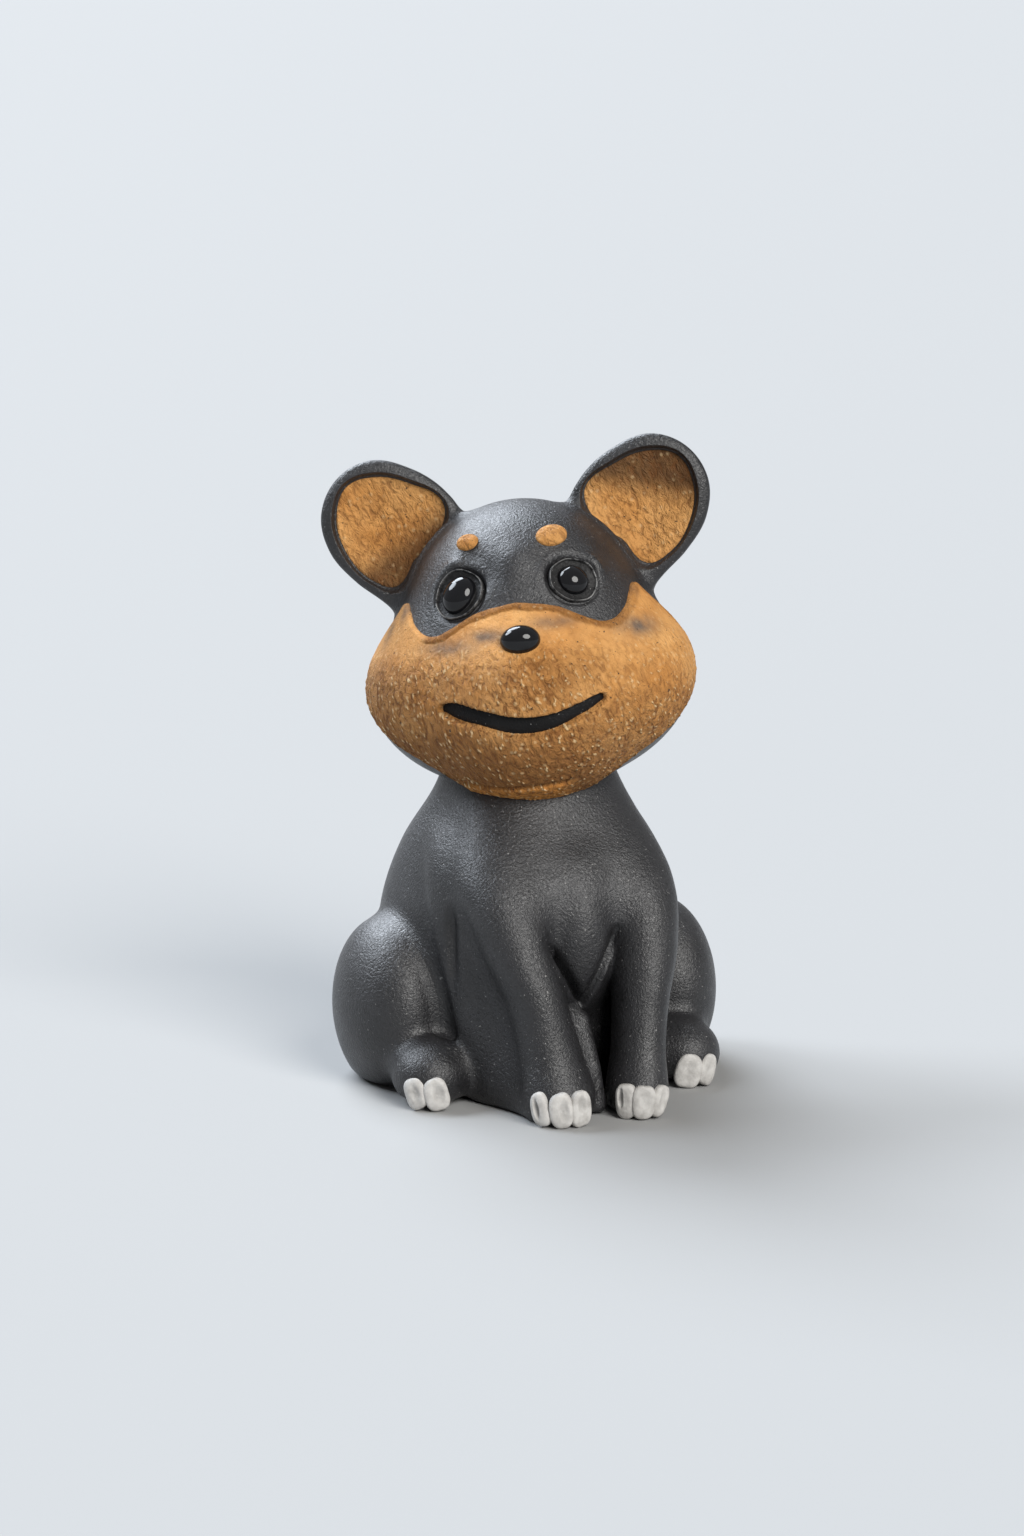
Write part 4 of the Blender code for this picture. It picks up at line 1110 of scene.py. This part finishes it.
def coat_outline(count):
    """Rim of the coat in degrees, `count` points evenly spaced along it."""
    half = np.array(COAT_RIM)
    along = np.arange(len(half), dtype=float)
    at = np.linspace(0, along[-1], 3000)
    left = half[:, :2] + unit(half[:, :2] - np.array(COAT_LEFT_FROM)) * half[:, 2:]
    across, up = (curve_through(along, half[:, c], at)[-2:0:-1] for c in (0, 1))
    left = [curve_through(along, left[:, c], at) for c in (0, 1)]
    across, up = np.concatenate([left[0], -across]), np.concatenate([left[1], up])
    step = np.hypot(np.diff(across, append=across[0]), np.diff(up, append=up[0]))
    length = np.concatenate([[0], np.cumsum(step)])
    even = np.arange(count) * length[-1] / count
    return [np.interp(even, length, np.append(values, values[0])) for values in (across, up)]


def coat_rings(rim, share):
    """Degrees across and up of rings at shares of the way from the coat's middle to its rim."""
    share = share[:, None]
    return [middle + (edge[None] - middle) * share for middle, edge in zip(COAT_MIDDLE, rim)]


def nearest(across, up, line):
    """Distance in degrees from each place to a chain of points, worked out ring by ring."""
    far = np.empty(across.shape)
    for row in range(len(across)):
        far[row] = np.hypot(across[row][:, None] - line[0], up[row][:, None] - line[1]).min(1)
    return far


def mouth_gap(across, up):
    """Millimetres outside the mouth: distance from its curved middle line less its half thickness there."""
    line = np.array(MOUTH_LINE)
    at = np.clip(across, line[0, 0], line[-1, 0])
    middle = curve_through(line[:, 0], line[:, 1], at)
    slope = (curve_through(line[:, 0], line[:, 1], at + 0.1) - middle) / 0.1
    thick = curve_through(line[:, 0], line[:, 2], at)
    return np.hypot(across - at, (up - middle) / np.sqrt(1 + slope**2)) * MOUTH_SCALE - thick


def make_coat():
    """Face coat: rings from its rim to a middle under the chin, closed by an inner skin behind.

    Its lift over the head is a quarter round inside the rim.  A band with a line pressed beside it
    follows the upper rim, a fold marks the lap at the chin, the mouth is a slot, and grains lie on it."""
    rim = coat_outline(480)
    across, up = coat_rings(rim, np.unique(np.concatenate([COAT_EDGE_ROWS, np.linspace(1, 0, 199)[1:-1]])))
    ways = way_to(across, up)
    scale = math.radians(1) * head_reach(ways)
    inside = nearest(across, up, coat_outline(1500)) * scale
    s = np.clip(inside / COAT_LIP, 0, 1)
    lift = COAT_PROUD * np.sqrt(np.maximum(1 - (1 - s) ** 2, 0.0)) - COAT_UNDERCUT * (1 - s) ** 2

    wide = BAND_WIDE * (1 + 0.1 * np.sin(across * 0.33) + 0.05 * np.sin(across * 1.3))
    upper = rise(up, *BAND_UP) * rise(across, *BAND_START)
    band = rise(inside, 1.35 * wide, 0.7 * wide) * upper * (1 - 0.5 * rise(across, *BAND_FADE))
    line = upper * rise(across, *LINE_FADE) * hill(inside - wide, LINE_WIDE)
    lift = lift + BAND_PROUD * band * s - LINE_DEEP * line

    edge = np.array(LAP_LINE)
    above = (up - np.interp(across, edge[:, 0], edge[:, 1])) * scale
    lap = rise(across, *LAP_START) * rise(across, *LAP_END)
    lift = lift - LAP_DEEP * lap * hill(above, LAP_FOLD) + LAP_PROUD * lap * rise(above, -0.1, -0.7)

    slot = mouth_gap(across, up)
    ragged = slot + 0.04 * np.sin(across * 4.1) * np.sin(across * 2.3 + up * 3.0)
    smooth = rise(across, *SMOOTH_ACROSS) * rise(up, *SMOOTH_UP)
    rough = np.maximum((0.1 + 0.9 * rise(-up, -8.0, 10.0)) * (1 - 0.6 * smooth), 0.6 * band)
    height = read_field(grain_field(), across, up) * s
    lift = lift + height * (0.15 + 0.85 * rise(slot, 0.15, 0.6)) * (0.2 + 0.8 * rough)
    lift = lift - SLOT_DEEP * rise(ragged, 0.3, -0.06)

    stain = np.zeros(across.shape)
    for x, y, far, high, strength in STAINS:
        stain = np.maximum(stain, strength * hill(across - x, far) * hill(up - y, high))
    # painted shade towards the chin, less on the puppy's left
    low = 0.7 * rise(-up, 18.0, 50.0) * (1 - 0.7 * rise(across, 5.0, 45.0))
    lapped = lap * rise(above, 0.0, -0.3)
    marks = {
        "lap": lapped,
        # painted shade, low on the face and on the puppy's right side
        "low": np.maximum(low, 0.3 * rise(-across, 30.0, 75.0)) * (1 - lapped),
        # painted shade in the fold along the lap's upper edge
        "crease": lap * hill(above, 0.3),
        # the band's own darker tone, and painted shade in a strip above the lap's fold
        "band": np.maximum(band, lap * rise(above, -0.1, 0.2) * rise(above, 2.2, 0.6)),
        "stain": stain,
        "rough": rough,
        # height of the grains, which also places painted glints on the highest of them
        "grain": height / GRAIN_HIGH[1],
    }
    front = ways * (head_reach(ways) + lift)[..., None]
    back = on_head(*coat_rings(rim, np.linspace(1, 0, 8)[:-1]), COAT_UNDER)
    ends = [on_head(*COAT_MIDDLE, lift) for lift in (COAT_PROUD, COAT_UNDER)]
    put_on_head("face_coat", np.concatenate([front, back]), OCHRE, ends, marks=marks)


def grain_field():
    """Heights of grains strewn over the face, from one fixed seed, on an even field in degrees.

    Each grain is a long mound, exp of minus its squared way out to the power 1.3; the highest counts."""
    strewn = np.random.default_rng(7)
    columns = np.arange(FIELD[0], FIELD[1], FIELD_STEP)
    rows = np.arange(FIELD[2], FIELD[3], FIELD_STEP)
    reach = int(1.9 * GRAIN_LONG[1] / FIELD_STEP)
    i = strewn.integers(reach, len(rows) - reach, GRAINS)
    j = strewn.integers(reach, len(columns) - reach, GRAINS)
    wide, long, lean = (strewn.uniform(*limits, GRAINS) for limits in (GRAIN_WIDE, GRAIN_LONG, GRAIN_LEAN))
    high = GRAIN_HIGH[0] + (GRAIN_HIGH[1] - GRAIN_HIGH[0]) * strewn.uniform(0, 1, GRAINS) ** 2.2
    c, s = np.cos(np.radians(lean)), np.sin(np.radians(lean))
    near = np.arange(-reach, reach + 1) * FIELD_STEP
    x, y = near[None], near[:, None]
    field = np.zeros((len(rows), len(columns)))
    for n in range(GRAINS):
        out = ((x * c[n] + y * s[n]) / wide[n]) ** 2 + ((y * c[n] - x * s[n]) / long[n]) ** 2
        here = field[i[n] - reach : i[n] + reach + 1, j[n] - reach : j[n] + reach + 1]
        np.maximum(here, high[n] * np.exp(-(out**1.3)), out=here)
    return field


def read_field(field, across, up):
    """The field's value at places in degrees, straight between its four nearest points."""
    x = np.clip((across - FIELD[0]) / FIELD_STEP, 0, field.shape[1] - 1.001)
    y = np.clip((up - FIELD[2]) / FIELD_STEP, 0, field.shape[0] - 1.001)
    j, i = x.astype(int), y.astype(int)
    x, y = x - j, y - i
    low = field[i, j] * (1 - x) + field[i, j + 1] * x
    return low * (1 - y) + (field[i + 1, j] * (1 - x) + field[i + 1, j + 1] * x) * y


# eyes, brows, nose and mouth


def ball_on_head(name, at, half, lift, lean, finish):
    """A ball of half sizes across, up and out, set in the head's skin at a lift and leaned within it."""
    here, side, above, out = skin_frame(*at)
    axes = np.stack([*leaned(side, above, -lean), out])
    ways = ball_ways(np.linspace(0, math.pi, 66)[1:-1], 96)
    ends = [here + out * (lift - half[2]), here + out * (lift + half[2])]
    put_on_head(name, here + out * lift + (ways * half) @ axes, finish, ends)


def make_eye(side):
    """An eye: a glossy bead, and round it a ring that slopes in from a thin raised rim.

    The ring is marked as worn along its lip on the outer side, a little on its slope and where it
    meets the bead below."""
    half, lean = EYE_BEAD_HALF[side], EYE_BEAD_LEAN[side]
    ball_on_head(f"eye_bead_{side}", EYES[side], half, -EYE_BEAD_SINK, lean, GLOSS)
    here, across, above, out = skin_frame(*EYES[side])
    wide, high = EYE_RING_HALF[side]
    section = np.array(EYE_RING_SECTION)
    closed = np.vstack([section[-3:], section, section[:4]])
    knots = np.arange(len(closed)) - 3.0
    along = np.linspace(0, len(section), 170)[:-1]
    share, height = (curve_through(knots, closed[:, c], along)[:, None] for c in (0, 1))
    turn = turns(240)
    bead = turn - math.radians(lean)
    inner = EYE_RING_INSIDE / np.hypot(np.cos(bead) / half[0], np.sin(bead) / half[1])
    outer = 1 / np.hypot(np.cos(turn) / wide, np.sin(turn) / high)
    outer = outer * (1 + 0.012 * np.sin(3 * turn + wide * 30) + 0.01 * np.sin(7 * turn + high * 50))
    reach = inner + share * (outer - inner)
    base = here + (np.cos(turn) * reach)[..., None] * across + (np.sin(turn) * reach)[..., None] * above
    ways = unit(base)
    level = (ways * head_reach(ways)[..., None] - here) @ out
    grid = base + (level + height)[..., None] * out
    lip = hill(share - 0.9, 0.08) * (height > 0)
    seat = 0.5 * hill(share - 0.03, 0.05) * (height > -0.3)
    slope = rise(share, 0.1, 0.3) * rise(share, 0.9, 0.7) * (height > -0.3)
    far = rise(TOWARD[side] * np.cos(turn) - 0.3 * np.sin(turn), 0.1, 0.9)
    worn = lip * (0.55 + 0.45 * far) + seat * rise(-np.sin(turn), -0.2, 0.6) + slope * (0.02 + 0.06 * far)
    put_on_head(f"eye_ring_{side}", grid, BLACK_WORN, marks={"worn": worn}, ring=True)


def make_mouth():
    """Mouth: a bar of black clay on the head's skin along the mouth's line, lower than the coat."""
    line = np.array(MOUTH_LINE)
    at = np.linspace(line[0, 0] - 1.5, line[-1, 0] + 1.5, 220)
    middle, thick = (curve_through(line[:, 0], line[:, c], at)[:, None] for c in (1, 2))
    turn = turns(40)[None]
    up = middle + (thick + MOUTH_UNDER) / MOUTH_SCALE * np.cos(turn)
    lift = MOUTH_TOP - MOUTH_THICK * (1 - np.sin(turn))
    put_on_head("mouth_inlay", on_head(at[:, None] + 0 * turn, up, lift), MOUTH_BLACK)


# ears


def ear_points(radius, depth, turn, side):
    """Points of an ear at a radius and a depth behind its face, round its middle."""
    x = TOWARD[side] * (EAR_AT[0] + radius * np.cos(turn))
    return np.stack([x, EAR_AT[1] + depth + 0 * x, EAR_AT[2] + radius * np.sin(turn)], -1)


def lining_share(turn):
    """Outline of an ear's lining as a share of the ear's own."""
    return around_outline(EAR_LINING, turn) / around_outline(EAR_RIM, turn)


def ear_front(side, share, turn):
    """Front of an ear at shares of its outline, run into the head, and the depth of its dish there.

    The dish falls from the crest of the rim to the lining's edge, and on to its middle as a bowl."""
    deep = (1 - share**EAR_SQUARE) ** (1 / EAR_SQUARE)
    start = ear_points(share * around_outline(EAR_RIM, turn), -EAR_FRONT * deep, turn, side)
    way = outward(start)
    way = way * -np.sign(way[..., 1].mean())
    skin = settle(f"ear_{side}", start, way, head_clay, most=HEAD_MOST)
    lining = lining_share(turn)
    past = (share - lining) / (1 - lining)
    bowl = np.maximum(1 - (share / lining) ** 2, 0.0)
    dish = EAR_EDGE_DEEP * rise(past, EAR_CREST, 0.0) + (EAR_DEEP - EAR_EDGE_DEEP) * bowl
    return skin, dish, share / lining


def make_ears():
    """Ears: rings from the middle of the dish over the rounded rim to the middle of the back, run into
    the head; the dish is lined with ochre."""
    turn = turns(230)
    for side in TOWARD:
        steps = np.linspace(0, math.pi / 2, 100)[1:-1, None]
        front, dish, over = ear_front(side, np.sin(steps) ** (2 / EAR_SQUARE) + 0 * turn, turn)
        front[..., 1] += dish + LINING_BED * rise(over, 1.0, 0.93)
        steps = np.linspace(math.pi / 2, 0, 90)[:-1, None]
        radius = np.sin(steps) ** (2 / EAR_BULGE) * around_outline(EAR_RIM, turn)
        start = ear_points(radius, EAR_BACK * np.cos(steps) ** (2 / EAR_BULGE) + 0 * turn, turn, side)
        way = outward(start)
        way = way * np.sign(way[-1, :, 1].mean())
        back = settle(f"ear_{side}", start, way, head_clay, most=HEAD_MOST)
        put_on_head(f"ear_{side}", np.concatenate([front, back]), BLACK)
        make_lining(side)


def make_lining(side):
    """Ear lining: a skin of ochre slip over the ear's dish with a rounded edge, closed behind."""
    turn = turns(230)
    share = np.concatenate([np.linspace(0.02, 0.9, 110), np.linspace(0.9, 1.0, 16)[1:]])[:, None]
    front, dish, over = ear_front(side, share * lining_share(turn), turn)
    front[..., 1] += dish + LINING_THICK * (1 - np.sqrt(np.maximum(1 - rise(over, 0.9, 1.0) ** 2, 0.0)))
    back, dish, _ = ear_front(side, np.linspace(0.99, 0.05, 14)[:, None] * lining_share(turn), turn)
    back[..., 1] += dish + LINING_BACK
    grid = np.concatenate([front, back])
    # painted shade under the ear's rim, partly a dark stain, towards the side given in EAR_SHADE
    strength, degrees, start, full = EAR_SHADE[side]
    c, s = cos_sin(degrees)
    towards = (grid[..., 0] * TOWARD[side] - EAR_AT[0]) * c + (grid[..., 2] - EAR_AT[2]) * s
    put_on_head(f"ear_lining_{side}", grid, LINING, marks={"shade": strength * rise(towards, start, full)})


# put the puppy together

make_body()
make_forelegs()
for side in TOWARD:
    make_standing_ball(f"haunch_{side}", mirrored(HAUNCH_AT, side), HAUNCH_HALF, 200, 170)
    make_standing_ball(f"hind_foot_{side}", mirrored(FOOT_AT, side), FOOT_HALF, 150, 110)
make_tail()
make_claws()
make_head()
make_coat()
for side in TOWARD:
    make_eye(side)
    at, half, lean = BROWS[side]
    ball_on_head(f"brow_{side}", at, half, -BROW_SINK, lean, LINING)
ball_on_head("nose_bead", NOSE_AT, NOSE_HALF, NOSE_OUT, 0.0, GLOSS)
make_mouth()
make_ears()


# stage: floor, light and camera

FLOOR_HALF = 40.0
FLOOR_GREY = (0.345, 0.345, 0.342, 1)
VIEW_TURN = -19.0
VIEW_UP = 11.0
VIEW_FAR = 500.0
VIEW_AT = (0.0, 0.0, 38.0)
VIEW_OFF_MIDDLE = 16.0
FRAME_HIGH = 1536
PIXELS_PER_MM = 8.12
SENSOR = 36.0

# sky: how much it lights the puppy, how pale it is where it is seen, and its colour
SKY = 0.1
SKY_SEEN = 0.38
SKY_BLUE = (0.95, 0.97, 1.0, 1)

# lamps: power, width and tint, bearing from the front towards the viewer's right, and height
LAMPS = (
    ("key", 3.3, 34.0, (1.0, 0.985, 0.96), 14.0, 35.0),
    ("back", 4.2, 34.0, (0.84, 0.91, 1.0), -170.0, 46.0),
    ("window", 2.4, 26.0, (0.84, 0.91, 1.0), -129.0, 42.0),
)


def make_floor():
    """A wide pale floor, its half width in metres."""
    made, shader, _ = new_finish("pale_floor")
    plug(shader, {"Base Color": FLOOR_GREY, "Roughness": 0.9})
    mesh = bpy.data.meshes.new("floor")
    corners = [(x * FLOOR_HALF, y * FLOOR_HALF, 0) for x, y in ((-1, -1), (1, -1), (1, 1), (-1, 1))]
    mesh.from_pydata(corners, [], [(0, 1, 2, 3)])
    mesh.materials.append(made)
    floor = in_scene("floor", mesh)


def make_light():
    """A dim sky that is paler where it is seen, a broad soft sun from above and a little to the viewer's
    right, and two cool ones from high behind and from behind on the left."""
    world = bpy.data.worlds.new("studio")
    bpy.context.scene.world = world
    world.use_nodes = True
    rays = node(world.node_tree, "ShaderNodeLightPath").outputs
    seen = sums("ADD", rays["Is Camera Ray"], rays["Is Glossy Ray"])
    seen = sums("ADD", seen, rays["Is Transmission Ray"])
    strength = between(seen, 0.0, 1.0, SKY, SKY_SEEN)
    plug(world.node_tree.nodes["Background"], {"Color": SKY_BLUE, "Strength": strength})
    for name, power, wide, tint, bearing, up in LAMPS:
        lamp = bpy.data.lights.new(name, "SUN")
        lamp.energy, lamp.angle, lamp.color = power, math.radians(wide), tint
        in_scene(name, lamp).rotation_euler = (math.radians(90 - up), 0.0, math.radians(bearing))


def make_camera():
    """Camera at the photograph's angle, its lens from the scale in the middle of the frame."""
    (turn_c, turn_s), (up_c, up_s) = cos_sin(VIEW_TURN), cos_sin(VIEW_UP)
    forward = np.array([-turn_s * up_c, turn_c * up_c, -up_s])
    right = np.array([turn_c, turn_s, 0.0])
    place = np.array(VIEW_AT) + SET_BACK - forward * VIEW_FAR - right * VIEW_OFF_MIDDLE / PIXELS_PER_MM
    lens = bpy.data.cameras.new("camera")
    lens.sensor_fit = "VERTICAL"
    lens.sensor_height = SENSOR
    lens.lens = SENSOR * PIXELS_PER_MM * VIEW_FAR / FRAME_HIGH
    lens.clip_start, lens.clip_end = 0.01, 100.0
    camera = in_scene("camera", lens)
    matrix = np.eye(4)
    matrix[:3] = np.stack([right, np.cross(right, forward), -forward, place * MM], 1)
    camera.matrix_world = Matrix(matrix.tolist())
    bpy.context.scene.camera = camera


make_floor()
make_light()
make_camera()
bpy.context.scene.view_settings.view_transform = "Standard"
